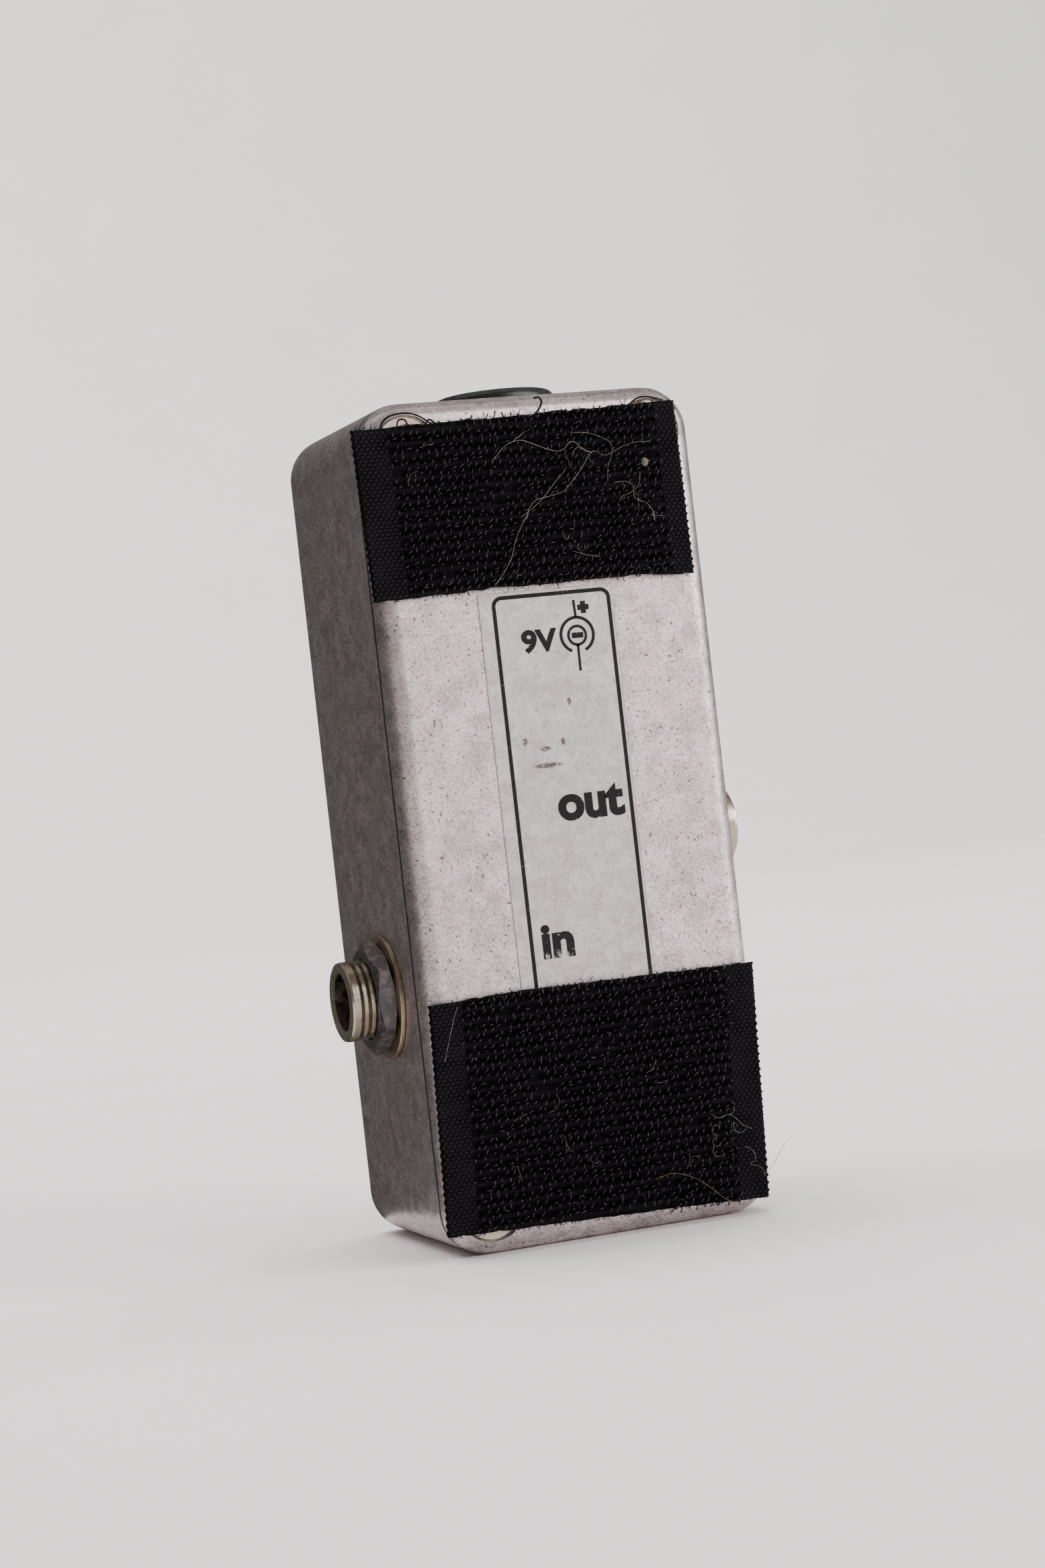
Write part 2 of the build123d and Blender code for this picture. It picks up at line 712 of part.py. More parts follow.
with BuildPart() as status_led:
    with BuildSketch(led_side):
        with BuildLine():
            Polyline((0, -4.6), (2.9, -4.6), (2.9, -3.6), (led_radius, -3.6), (led_radius, 0.9))
            CenterArc((0, 0.9), led_radius, 0, 90)
            Line((0, 0.9 + led_radius), (0, -4.6))
        make_face()
    revolve(axis=led_axis)
status_led.part.label = "status_led"
export_step(status_led.part, "parts/status_led.step")

with BuildPart() as led_leads:
    with BuildSketch(across(back_y - 4.6)):
        with Locations((-1.27, led_z - mid_z), (1.27, led_z - mid_z)):
            Rectangle(0.5, 0.5)
    extrude(amount=3.6)
led_leads.part.label = "led_leads"
export_step(led_leads.part, "parts/led_leads.step")

# ===== Circuit board and its parts =====
standoff_spots = [
    (x, z - mid_z) for x in (-standoff_x, standoff_x) for z in (standoff_low_z, standoff_high_z)
]

with BuildPart() as circuit_board:
    with BuildSketch(across(board_back_y)):
        with Locations((0, (board_bottom + board_top) / 2 - mid_z)):
            RectangleRounded(board_width, board_top - board_bottom, 1.0)
        with Locations(*standoff_spots):
            Circle(1.6, mode=Mode.SUBTRACT)
        with Locations((-1.27, led_z - mid_z), (1.27, led_z - mid_z)):
            Circle(0.45, mode=Mode.SUBTRACT)
    extrude(amount=board_thickness)
circuit_board.part.label = "circuit_board"
export_step(circuit_board.part, "parts/circuit_board.step")

with BuildPart() as board_standoffs:
    with BuildSketch(across(floor_y)):
        with Locations(*standoff_spots):
            Circle(2.5)
            Circle(1.5, mode=Mode.SUBTRACT)
    extrude(amount=floor_y - board_back_y)
board_standoffs.part.label = "board_standoffs"
export_step(board_standoffs.part, "parts/board_standoffs.step")

with BuildPart() as board_screws:
    with BuildSketch(across(board_y)):
        with Locations(*standoff_spots):
            Circle(2.6)
            Rectangle(3.6, 0.7, mode=Mode.SUBTRACT)
    extrude(amount=1.7)
    with BuildSketch(across(floor_y - 0.3)):
        with Locations(*standoff_spots):
            Circle(1.45)
    extrude(amount=floor_y - 0.3 - board_y + 0.8)
board_screws.part.label = "board_screws"
export_step(board_screws.part, "parts/board_screws.step")

transformer_x = -9.0
transformer_z = 61.5
with BuildPart() as transformer_core:
    with BuildSketch(across(board_y - 1.5)):
        with Locations((transformer_x, transformer_z - mid_z)):
            Rectangle(13.6, 5.6)
    extrude(amount=11)
    # Two windows either side of the centre leg.
    with BuildSketch(Plane.XY.offset(transformer_z - 3)):
        for window_x in (transformer_x - 3.9, transformer_x + 3.9):
            with Locations((window_x, board_y - 7)):
                Rectangle(2.6, 6.6)
    extrude(amount=6, mode=Mode.SUBTRACT)
transformer_core.part.label = "transformer_core"
export_step(transformer_core.part, "parts/transformer_core.step")

with BuildPart() as transformer_winding:
    with BuildSketch(across(board_y - 3.9)):
        with Locations((transformer_x, transformer_z - mid_z)):
            RectangleRounded(10.2, 11.4, 2.0)
            Rectangle(5.4, 5.8, mode=Mode.SUBTRACT)
    extrude(amount=6.2)
transformer_winding.part.label = "transformer_winding"
export_step(transformer_winding.part, "parts/transformer_winding.step")

with BuildPart() as transformer_pins:
    with BuildSketch(across(board_y)):
        with Locations((transformer_x, transformer_z - mid_z)):
            with GridLocations(5.0, 8.4, 2, 2):
                Circle(0.35)
    extrude(amount=3.9)
transformer_pins.part.label = "transformer_pins"
export_step(transformer_pins.part, "parts/transformer_pins.step")

op_amp_x = 9.0
op_amp_z = 63.0
with BuildPart() as op_amp:
    with BuildSketch(across(board_y - 0.5)):
        with Locations((op_amp_x, op_amp_z - mid_z)):
            Rectangle(6.4, 9.6)
            with Locations((0, 4.8)):
                Circle(0.9, mode=Mode.SUBTRACT)
    extrude(amount=3.4)
op_amp.part.label = "op_amp"
export_step(op_amp.part, "parts/op_amp.step")

with BuildPart() as op_amp_legs:
    with BuildSketch(across(board_y)):
        with Locations((op_amp_x, op_amp_z - mid_z)):
            with GridLocations(7.62, 2.54, 2, 4):
                Rectangle(0.3, 0.9)
    extrude(amount=2.6)
    with BuildSketch(across(board_y - 2.0)):
        with Locations((op_amp_x, op_amp_z - mid_z)):
            with GridLocations(7.0, 2.54, 2, 4):
                Rectangle(0.6, 0.9)
    extrude(amount=0.6)
op_amp_legs.part.label = "op_amp_legs"
export_step(op_amp_legs.part, "parts/op_amp_legs.step")

with BuildPart() as electrolytic_capacitors:
    with BuildSketch(across(board_y)):
        with Locations((-2.6, 71.6 - mid_z), (1.0, 58.8 - mid_z)):
            Circle(2.0)
    extrude(amount=7.0)
    fillet(electrolytic_capacitors.faces().group_by(Axis.Y)[0].edges(), 0.35)
electrolytic_capacitors.part.label = "electrolytic_capacitors"
export_step(electrolytic_capacitors.part, "parts/electrolytic_capacitors.step")

with BuildPart() as film_capacitors:
    with BuildSketch(across(board_y)):
        with Locations((0, 36.0 - mid_z)):
            with GridLocations(4.2, 1, 3, 1):
                Rectangle(2.6, 7.2)
    extrude(amount=5.5)
    fillet(film_capacitors.edges().filter_by(Axis.Y), 0.4)
film_capacitors.part.label = "film_capacitors"
export_step(film_capacitors.part, "parts/film_capacitors.step")

# Axial parts: a dog-bone body lying along Z, and a lead bent into the board at each end.
axial_half = 3.1
lead_run = 1.2
lead_radius = 0.28
axial_height = board_y - 1.35
axial_spots = [(x, 38.0) for x in (-13.2, -10.4, -7.6)]
axial_spots += [(x, 34.0) for x in (7.6, 10.4, 13.2)]
axial_spots += [(-9.6, 48.0), (-6.8, 48.0)]
diode_spot = (7.6, 24.4)


def axial_body(spot, end_radius, mid_radius):
    """Turned body of one axial component, centred on its spot on the board."""
    plane = Plane(origin=(spot[0], axial_height, spot[1]), x_dir=(1, 0, 0), z_dir=(0, -1, 0))
    with BuildPart() as body:
        with BuildSketch(plane):
            with BuildLine():
                Polyline(
                    (0, -axial_half),
                    (end_radius - 0.2, -axial_half),
                    (end_radius, -axial_half + 0.3),
                    (end_radius, -axial_half + 1.1),
                    (mid_radius, -axial_half + 1.5),
                    (mid_radius, axial_half - 1.5),
                    (end_radius, axial_half - 1.1),
                    (end_radius, axial_half - 0.3),
                    (end_radius - 0.2, axial_half),
                    (0, axial_half),
                    close=True,
                )
            make_face()
        revolve(axis=Axis((spot[0], axial_height, spot[1]), (0, 0, 1)))
    return body.part


def round_wire(points, radius, bend):
    """Round conductor along straight runs joined by tangent arcs."""
    with BuildPart() as conductor:
        with BuildLine() as path:
            FilletPolyline(*points, radius=bend)
        with BuildSketch(path.line ^ 0):
            Circle(radius)
        sweep(path=path.line)
    return conductor.part


def axial_lead(spot, direction):
    """Lead from one end of an axial body, bent over into the board."""
    x, z = spot
    end_z = z + direction * axial_half
    hole_z = end_z + direction * lead_run
    return round_wire(
        [(x, axial_height, end_z), (x, axial_height, hole_z), (x, board_y, hole_z)],
        lead_radius,
        0.6,
    )


resistor_bodies = [axial_body(spot, 1.15, 0.95) for spot in axial_spots]
resistor_wires = [axial_lead(spot, way) for spot in axial_spots for way in (-1, 1)]
diode_wires = [axial_lead(diode_spot, way) for way in (-1, 1)]

with BuildPart() as resistors:
    add(resistor_bodies)
resistors.part.label = "resistors"
export_step(resistors.part, "parts/resistors.step")

with BuildPart() as polarity_diode:
    add(axial_body(diode_spot, 1.2, 1.2))
polarity_diode.part.label = "polarity_diode"
export_step(polarity_diode.part, "parts/polarity_diode.step")

with BuildPart() as component_leads:
    add(resistor_wires + diode_wires)
component_leads.part.label = "component_leads"
export_step(component_leads.part, "parts/component_leads.step")

# ===== Hook-up wires from the panel parts to the board =====
lug_y = jack_y + arm_half_width + lug_reach - 0.9
input_lug_x = -half_width + wall + stack_start + stack_length / 2 - 1.6
input_sleeve_x = -half_width + wall + frame_length - lug_width / 2
input_lug_top = input_z - frame_reach + frame_thickness + wafer_thickness + leaf_thickness
input_arm_top = input_z - frame_reach + frame_thickness
output_seat = wall + insulator_thickness
output_lug_x = half_width - output_seat - stack_start - stack_length / 2 + 1.6
output_sleeve_x = half_width - output_seat - frame_length + lug_width / 2
output_lug_top = output_z + frame_reach - frame_thickness - wafer_thickness
output_arm_top = output_z + frame_reach
layer_height = wafer_thickness + leaf_thickness


def lug_wire(x, lug_top, rise):
    """Wire that rises off a solder lug's upper face and turns into the board."""
    return round_wire(
        [(x, lug_y, lug_top), (x, lug_y, lug_top + rise), (x, board_y, lug_top + rise)],
        wire_radius,
        wire_bend,
    )


input_routes = [lug_wire(input_lug_x, input_lug_top, 4.0), lug_wire(input_sleeve_x, input_arm_top, 4.0)]
output_routes = [
    lug_wire(output_lug_x, output_lug_top, 4.0),
    lug_wire(output_lug_x - 3.0, output_lug_top - layer_height, 4.0),
    lug_wire(output_sleeve_x, output_arm_top, 3.8),
]
dc_lug_z = box_length - dc_barrel_depth - 3.0
dc_routes = [
    round_wire(
        [(x, leaf_thickness / 2, dc_lug_z), (x, 3.6, dc_lug_z), (x, 3.6, 73.6), (x, board_y, 73.6)],
        wire_radius,
        wire_bend,
    )
    for x in (dc_x, dc_x + 4)
]
toggle_routes = [
    round_wire(
        [(x, 2.6, toggle_z + 0.95), (x, 2.6, 22.5), (x, board_y, 22.5)], wire_radius, wire_bend
    )
    for x in (0, toggle_lug_pitch)
]

with BuildPart() as input_wires:
    add(input_routes)
input_wires.part.label = "input_wires"
export_step(input_wires.part, "parts/input_wires.step")

with BuildPart() as output_wires:
    add(output_routes)
output_wires.part.label = "output_wires"
export_step(output_wires.part, "parts/output_wires.step")

with BuildPart() as power_wires:
    add(dc_routes)
power_wires.part.label = "power_wires"
export_step(power_wires.part, "parts/power_wires.step")

with BuildPart() as ground_lift_wires:
    add(toggle_routes)
ground_lift_wires.part.label = "ground_lift_wires"
export_step(ground_lift_wires.part, "parts/ground_lift_wires.step")
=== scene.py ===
import json
import math
import random

import bmesh
import bpy
import numpy as np
from mathutils import Matrix, Vector


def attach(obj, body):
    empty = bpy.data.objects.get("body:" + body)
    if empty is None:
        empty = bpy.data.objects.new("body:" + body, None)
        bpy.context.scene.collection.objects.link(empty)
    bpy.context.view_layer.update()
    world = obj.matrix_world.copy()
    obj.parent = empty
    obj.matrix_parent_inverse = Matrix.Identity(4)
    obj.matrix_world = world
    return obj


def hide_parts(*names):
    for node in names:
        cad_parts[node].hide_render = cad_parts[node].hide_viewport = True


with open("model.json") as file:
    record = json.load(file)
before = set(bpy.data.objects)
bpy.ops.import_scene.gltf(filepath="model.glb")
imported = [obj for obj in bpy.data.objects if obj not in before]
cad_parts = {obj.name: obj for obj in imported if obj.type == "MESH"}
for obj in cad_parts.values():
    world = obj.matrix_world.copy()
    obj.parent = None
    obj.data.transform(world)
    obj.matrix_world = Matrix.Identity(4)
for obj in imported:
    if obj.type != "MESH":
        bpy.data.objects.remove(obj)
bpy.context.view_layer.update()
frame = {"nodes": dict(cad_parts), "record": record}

# Lengths are in millimetres, in the CAD's frame, down to the heading "Camera"; from there they are in metres.
MM = 0.001
LID_Y = -15.5                   # outer face of the lid
SEAM_Y = -12.9                  # joint between the lid and the body
FILM_MIDDLE, FILM_HALF, FILM_TOP = -0.25, 7.85, 71.1    # label film: middle x, half width, upper edge
record_slots = {part["node"]: part["material_slot"] for part in frame["record"]["subparts"]}


# ===== Small node-graph helper =====
class Shader:
    """A material under construction: a value is a socket or a number, and places are in millimetres."""

    def __init__(self, name, metallic=0.0, roughness=0.5, specular=0.5):
        self.mat = bpy.data.materials.new(name)
        self.mat.use_nodes = True
        self.tree = self.mat.node_tree
        self.bsdf = self.tree.nodes["Principled BSDF"]
        self.bsdf.inputs["Metallic"].default_value = metallic
        self.bsdf.inputs["Roughness"].default_value = roughness
        self.bsdf.inputs["Specular IOR Level"].default_value = specular
        coordinates = self.add("ShaderNodeTexCoord")
        scale = self.add("ShaderNodeVectorMath", operation="SCALE")
        self.link(coordinates.outputs["Object"], scale.inputs[0])
        scale.inputs["Scale"].default_value = 1 / MM
        self.place = scale.outputs[0]

    def add(self, kind, **settings):
        node = self.tree.nodes.new(kind)
        for key, value in settings.items():
            setattr(node, key, value)
        return node

    def link(self, a, b):
        self.tree.links.new(a, b)

    def feed(self, value, socket):
        """Give a socket another socket's value, or a number or colour of its own."""
        if hasattr(value, "is_output"):
            self.link(value, socket)
        else:
            socket.default_value = value

    def vector(self, operation, place, other=None):
        node = self.add("ShaderNodeVectorMath", operation=operation)
        self.link(place, node.inputs[0])
        if other is not None:
            node.inputs[1].default_value = other
        return node

    def stretched(self, x=1.0, y=1.0, z=1.0):
        """Coordinates for a noise; under 1 draws it out along that axis."""
        return self.vector("MULTIPLY", self.place, (x, y, z)).outputs[0]

    def noise(self, scale, detail=3.0, rough=0.55, vector=None, distortion=0.0):
        """Noise of about 1 / scale mm."""
        node = self.add("ShaderNodeTexNoise")
        self.link(vector or self.place, node.inputs["Vector"])
        node.inputs["Scale"].default_value = scale
        node.inputs["Detail"].default_value = detail
        node.inputs["Roughness"].default_value = rough
        node.inputs["Distortion"].default_value = distortion
        return node.outputs["Fac"]

    def ramp(self, value, low, high, a=0.0, b=1.0):
        """Smooth step from a, where the value is low, to b, where it is high."""
        node = self.add("ShaderNodeMapRange", interpolation_type="SMOOTHSTEP")
        self.feed(value, node.inputs["Value"])
        for key, number in zip(("From Min", "From Max", "To Min", "To Max"), (low, high, a, b)):
            node.inputs[key].default_value = number
        return node.outputs["Result"]

    def math(self, operation, a, b=0.0):
        node = self.add("ShaderNodeMath", operation=operation)
        self.feed(a, node.inputs[0])
        self.feed(b, node.inputs[1])
        return node.outputs[0]

    def mix(self, a, b, fac):
        node = self.add("ShaderNodeMix", data_type="RGBA")
        self.feed(fac, node.inputs["Factor"])
        colours = {socket.name: socket for socket in node.inputs if socket.type == "RGBA"}
        self.feed(rgba(a), colours["A"])
        self.feed(rgba(b), colours["B"])
        return [socket for socket in node.outputs if socket.type == "RGBA"][0]

    def over(self, shade, colour, mask, amount):
        """A colour laid over a shade where the mask is 1, by the amount given."""
        return self.mix(shade, colour, self.math("MULTIPLY", mask, amount))

    def axis(self, name):
        node = self.add("ShaderNodeSeparateXYZ")
        self.link(self.place, node.inputs[0])
        return node.outputs[name]

    def away(self, axis, middle):
        """Distance along an axis from a plane across it."""
        return self.math("ABSOLUTE", self.math("SUBTRACT", self.axis(axis), middle))

    def bump(self, height, strength, depth_mm):
        node = self.add("ShaderNodeBump")
        node.inputs["Strength"].default_value = strength
        node.inputs["Distance"].default_value = depth_mm * MM
        self.feed(height, node.inputs["Height"])
        self.link(node.outputs[0], self.bsdf.inputs["Normal"])

    def colour(self, value):
        self.feed(rgba(value), self.bsdf.inputs["Base Color"])

    def roughness(self, value):
        self.feed(value, self.bsdf.inputs["Roughness"])


def rgba(value):
    return (*value, 1.0) if isinstance(value, tuple) and len(value) == 3 else value


# ===== Materials =====
def cast_metal():
    """Bare die-cast alloy: blotched oxide grain, pits, stains, faint drag marks, and a dark band along the
    seam, painted shade of its groove with some dirt.
    """
    s = Shader("cast_aluminium", metallic=1.0)
    broad = s.noise(0.11, 4, 0.6)
    blotch = s.noise(0.42, 6, 0.68, distortion=0.3)
    grain = s.noise(3.1, 5, 0.78)
    fine = s.noise(8.5, 3, 0.7)
    shade = s.mix((0.43, 0.392, 0.386), (0.73, 0.667, 0.66), s.ramp(blotch, 0.34, 0.64))
    shade = s.over(shade, (0.60, 0.505, 0.485), s.ramp(broad, 0.45, 0.65), 0.5)
    shade = s.over(shade, (0.82, 0.74, 0.74), s.ramp(grain, 0.50, 0.38), 0.45)
    shade = s.over(shade, (0.24, 0.205, 0.198), s.ramp(grain, 0.49, 0.64), 0.82)
    shade = s.over(shade, (0.27, 0.235, 0.225), s.ramp(fine, 0.50, 0.68), 0.55)
    pits = s.ramp(s.noise(2.3, 2, 0.5), 0.665, 0.70)
    shade = s.over(shade, (0.10, 0.078, 0.068), pits, 0.85)
    stains = s.ramp(s.noise(0.20, 7, 0.74, distortion=0.8), 0.56, 0.66)
    shade = s.over(shade, (0.34, 0.285, 0.27), stains, 0.40)
    drag = s.noise(4.2, 2, 0.5, vector=s.stretched(z=0.06))
    shade = s.over(shade, (0.84, 0.77, 0.765), s.ramp(drag, 0.69, 0.72), 0.30)
    # Dark band along the seam: painted shade of the seam's groove, widened past the groove, with some real
    # dirt in it.
    seam_shade_and_grime = s.ramp(s.away("Y", SEAM_Y), 0.16, 0.42, 1.0, 0.0)
    s.colour(s.over(shade, (0.022, 0.019, 0.018), seam_shade_and_grime, 0.93))
    rough = s.math("ADD", s.ramp(blotch, 0.3, 0.7, 0.36, 0.42), s.ramp(grain, 0.38, 0.64, -0.04, 0.09))
    s.roughness(s.math("ADD", rough, s.math("MULTIPLY", seam_shade_and_grime, 0.3)))
    height = s.math("ADD", s.math("MULTIPLY", s.noise(7.0, 4, 0.65), 0.6), s.math("MULTIPLY", drag, 0.10))
    height = s.math("SUBTRACT", height, s.math("MULTIPLY", pits, 0.9))
    s.bump(height, 0.34, 0.055)
    return s.mat


def worn_metal(name, base, worn, dark, roughness=0.32, wear=0.5, grain=3.5, bump=0.2):
    """Plated or bare metal with rubbed patches and specks of darker residue."""
    s = Shader(name, metallic=1.0)
    patches = s.noise(0.9, 5, 0.65, distortion=0.5)
    fine = s.noise(grain, 4, 0.65)
    shade = s.over(base, worn, s.ramp(patches, 0.48, 0.62), wear)
    s.colour(s.over(shade, dark, s.ramp(fine, 0.54, 0.74), 0.34))
    s.roughness(s.ramp(patches, 0.3, 0.7, roughness - 0.06, roughness + 0.14))
    s.bump(s.noise(grain * 2.2, 3, 0.6), bump, 0.03)
    return s.mat


def moulded(name, base, roughness=0.42, grain=9.0, bump=0.22, streak=None):
    """Moulded plastic with an eroded-die grain and slight colour variation."""
    s = Shader(name, roughness=roughness)
    shift = s.noise(0.8, 4, 0.6)
    darker = tuple(c * 0.72 for c in base)
    lighter = tuple(min(1.0, c * 1.3 + 0.006) for c in base)
    shade = s.mix(darker, lighter, s.ramp(shift, 0.35, 0.68))
    if streak:
        shade = s.over(shade, streak, s.ramp(s.noise(2.6, 3, 0.6), 0.60, 0.70), 0.4)
    s.colour(shade)
    s.roughness(s.ramp(s.noise(2.2, 3, 0.6), 0.3, 0.7, roughness - 0.08, roughness + 0.10))
    s.bump(s.noise(grain, 3, 0.55), bump, 0.03)
    return s.mat


# Dark rubbed marks on the label, as (x, z, half width, half height).
FILM_MARKS = (
    (-2.10, 51.86, 1.90, 0.34), (-4.48, 54.66, 0.35, 0.50), (-2.19, 53.70, 0.75, 0.32),
    (-0.09, 54.29, 0.30, 0.45), (1.12, 58.56, 0.30, 0.50),
)
FILM_DIRT = 0.16, 0.02          # the dirt along the cut edges begins and is full this far in


def film():
    """Label film: cool silver grey, faintly clouded, with specks, rubbed marks and dirt at its edges."""
    s = Shader("label_film", metallic=0.78)
    cloud = s.noise(0.5, 5, 0.65, distortion=0.8)
    specks = s.ramp(s.noise(3.3, 3, 0.6), 0.60, 0.68)
    shade = s.mix((0.42, 0.387, 0.392), (0.60, 0.560, 0.566), s.ramp(cloud, 0.30, 0.70))
    grain = s.noise(3.3, 5, 0.78)
    shade = s.over(shade, (0.27, 0.245, 0.245), s.ramp(grain, 0.50, 0.67), 0.62)
    shade = s.over(shade, (0.33, 0.305, 0.30), specks, 0.62)
    ragged = s.ramp(s.noise(2.6, 4, 0.7), 0.36, 0.50)
    for x, z, half_width, half_height in FILM_MARKS:
        offset = s.vector("SUBTRACT", s.place, (x, LID_Y, z)).outputs[0]
        share = s.vector("MULTIPLY", offset, (1 / half_width, 0.0, 1 / half_height)).outputs[0]
        near = s.ramp(s.vector("LENGTH", share).outputs["Value"], 0.55, 1.15, 1.0, 0.0)
        shade = s.over(shade, (0.085, 0.072, 0.058), s.math("MULTIPLY", near, ragged), 0.95)
    begins, full = FILM_DIRT
    sides = s.ramp(s.away("X", FILM_MIDDLE), FILM_HALF - begins, FILM_HALF - full)
    top = s.ramp(s.axis("Z"), FILM_TOP - begins, FILM_TOP - full)
    edge = s.math("MAXIMUM", sides, top)
    edge = s.math("MULTIPLY", edge, s.ramp(s.noise(1.1, 4, 0.6), 0.35, 0.6, 0.35, 1.0))
    s.colour(s.over(shade, (0.20, 0.18, 0.175), edge, 0.75))
    s.roughness(s.ramp(cloud, 0.3, 0.7, 0.40, 0.52))
    s.bump(s.noise(1.3, 5, 0.6), 0.16, 0.06)
    return s.mat


# The foot of the input legend has worn away: its middle x, and the heights between which it has.
WORN_X = -3.3
WORN_FROM, WORN_TO = 30.5, 32.0


def ink():
    """Black print with rubbed pinholes, and worn away along the foot of the input legend."""
    s = Shader("print_ink", roughness=0.55, specular=0.15)
    rub = s.ramp(s.noise(3.6, 4, 0.7), 0.64, 0.70)
    foot = s.ramp(s.axis("Z"), WORN_TO - 1.0, WORN_TO, 1.0, 0.0)
    above_tape = s.ramp(s.axis("Z"), WORN_FROM, WORN_FROM + 0.4)
    legend_only = s.ramp(s.away("X", WORN_X), 2.1, 2.3, 1.0, 0.0)
    worn = s.math("MULTIPLY", s.math("MULTIPLY", foot, legend_only), above_tape)
    worn = s.math("MULTIPLY", worn, s.ramp(s.noise(1.9, 4, 0.7), 0.46, 0.56))
    bare = s.math("MAXIMUM", s.math("MULTIPLY", rub, 0.55), s.math("MULTIPLY", worn, 0.85))
    s.colour(s.mix((0.009, 0.0085, 0.009), (0.40, 0.385, 0.39), bare))
    s.bump(s.noise(8.0, 3, 0.6), 0.15, 0.01)
    return s.mat


WEAVE_CROWN_Y, WEAVE_VALLEY_Y = -16.60, -16.30      # painted highlight on the weave at the one, painted shade, darkest, at the other


def nylon_weave(name, lit_crown_colour):
    """Near-black woven nylon: fine filaments in each yarn, a painted highlight on the raised yarns and
    painted shade in the valleys, a little dust.
    """
    s = Shader(name, roughness=0.6, specular=0.05)
    filament = s.noise(13.0, 2, 0.5, vector=s.stretched(z=0.25))
    # Painted highlight on the raised yarns, fading to painted shade in the valleys.
    crown_highlight = s.ramp(s.axis("Y"), WEAVE_CROWN_Y, WEAVE_VALLEY_Y, 1.0, 0.0)
    fade = s.noise(0.35, 4, 0.6)
    shade = s.over((0.0003, 0.0003, 0.0004), lit_crown_colour, crown_highlight, 0.95)
    shade = s.over(shade, (0.012, 0.0105, 0.0145), s.ramp(filament, 0.5, 0.72), 0.45)
    shade = s.over(shade, (0.009, 0.0075, 0.010), s.ramp(fade, 0.45, 0.7), 0.35)
    dust = s.ramp(s.noise(4.2, 3, 0.7), 0.70, 0.75)
    s.colour(s.over(shade, (0.30, 0.27, 0.26), dust, 0.5))
    s.bump(filament, 0.45, 0.05)
    return s.mat


def strand(name, base, tip, roughness=0.35, specular=0.5):
    """Nylon filament or hair, with its colour varying along it."""
    s = Shader(name, roughness=roughness, specular=specular)
    s.colour(s.mix(base, tip, s.ramp(s.noise(1.4, 3, 0.6), 0.40, 0.66)))
    s.bump(s.noise(16.0, 2, 0.5), 0.1, 0.01)
    return s.mat


LAMINATION_TURN = 14.0          # radians of the stack's ripple for each mm


def laminations():
    """Stacked core steel, rusty in places."""
    s = Shader("core_steel", metallic=1.0)
    sheets = s.math("SINE", s.math("MULTIPLY", s.axis("Y"), LAMINATION_TURN))
    shade = s.mix((0.12, 0.115, 0.11), (0.36, 0.34, 0.33), s.ramp(sheets, -0.4, 0.6))
    s.colour(s.over(shade, (0.22, 0.10, 0.05), s.ramp(s.noise(1.0, 4), 0.55, 0.7), 0.5))
    s.roughness(0.45)
    s.bump(sheets, 0.5, 0.05)
    return s.mat


TRACK_PITCH = 1.27
TRACK_BLOCKS = 0.16             # blocks of like-laid tracks for each mm


def board():
    """Solder-masked board with square-laid tracks under the mask."""
    s = Shader("board_green", roughness=0.3)
    block = s.add("ShaderNodeTexVoronoi", feature="F1", distance="CHEBYCHEV")
    s.link(s.place, block.inputs["Vector"])
    block.inputs["Scale"].default_value = TRACK_BLOCKS
    pick = s.add("ShaderNodeSeparateColor")
    s.link(block.outputs["Color"], pick.inputs[0])
    across, along = [
        s.math("ABSOLUTE", s.math("SUBTRACT", s.math("FRACT", s.math("DIVIDE", s.axis(a), TRACK_PITCH)), 0.5))
        for a in "XZ"
    ]
    upright = s.math("GREATER_THAN", pick.outputs[0], 0.5)
    chosen = s.math("ADD", s.math("MULTIPLY", across, upright),
                    s.math("MULTIPLY", along, s.math("SUBTRACT", 1.0, upright)))
    track = s.math("MULTIPLY", s.ramp(chosen, 0.14, 0.19, 1.0, 0.0), s.ramp(pick.outputs[1], 0.25, 0.26))
    shade = s.mix((0.010, 0.075, 0.030), (0.026, 0.150, 0.055), track)
    s.colour(s.over(shade, (0.04, 0.19, 0.075), s.ramp(s.noise(1.3), 0.5, 0.7), 0.3))
    s.bump(track, 0.4, 0.05)
    return s.mat


RESISTOR_HEIGHTS = (38.0, 34.0, 48.0)
BAND_COLOURS = ((0.30, 0.05, 0.02), (0.02, 0.02, 0.02), (0.45, 0.20, 0.02), (0.16, 0.06, 0.02))
FIRST_BAND, BAND_PITCH = -1.5, 0.95


def banded_resistor():
    """Pale blue lacquer with colour bands across each body's length."""
    s = Shader("resistor_lacquer", roughness=0.25)
    shade = s.mix((0.13, 0.30, 0.42), (0.20, 0.40, 0.52), s.noise(1.6, 3))
    for index, band in enumerate(BAND_COLOURS):
        for middle in RESISTOR_HEIGHTS:
            gap = s.away("Z", middle + FIRST_BAND + index * BAND_PITCH)
            shade = s.mix(shade, band, s.ramp(gap, 0.18, 0.22, 1.0, 0.0))
    s.colour(shade)
    s.bump(s.noise(6.0), 0.1, 0.02)
    return s.mat


def tinted_lens():
    """Red lens of the status light."""
    s = Shader("led_red", roughness=0.12)
    s.colour(s.mix((0.42, 0.012, 0.010), (0.62, 0.05, 0.03), s.ramp(s.noise(1.1, 3), 0.35, 0.65)))
    s.bsdf.inputs["Transmission Weight"].default_value = 0.35
    s.bsdf.inputs["Coat Weight"].default_value = 0.4
    s.bump(s.noise(2.4, 3), 0.06, 0.03)
    return s.mat


def pressed_fibre():
    """Brown insulating board with its fibres lying along Y."""
    s = Shader("fibre_board", roughness=0.75)
    fibre = s.noise(4.5, 4, 0.7, vector=s.stretched(y=0.25))
    s.colour(s.mix((0.16, 0.065, 0.028), (0.42, 0.215, 0.11), s.ramp(fibre, 0.35, 0.65)))
    s.bump(fibre, 0.4, 0.06)
    return s.mat


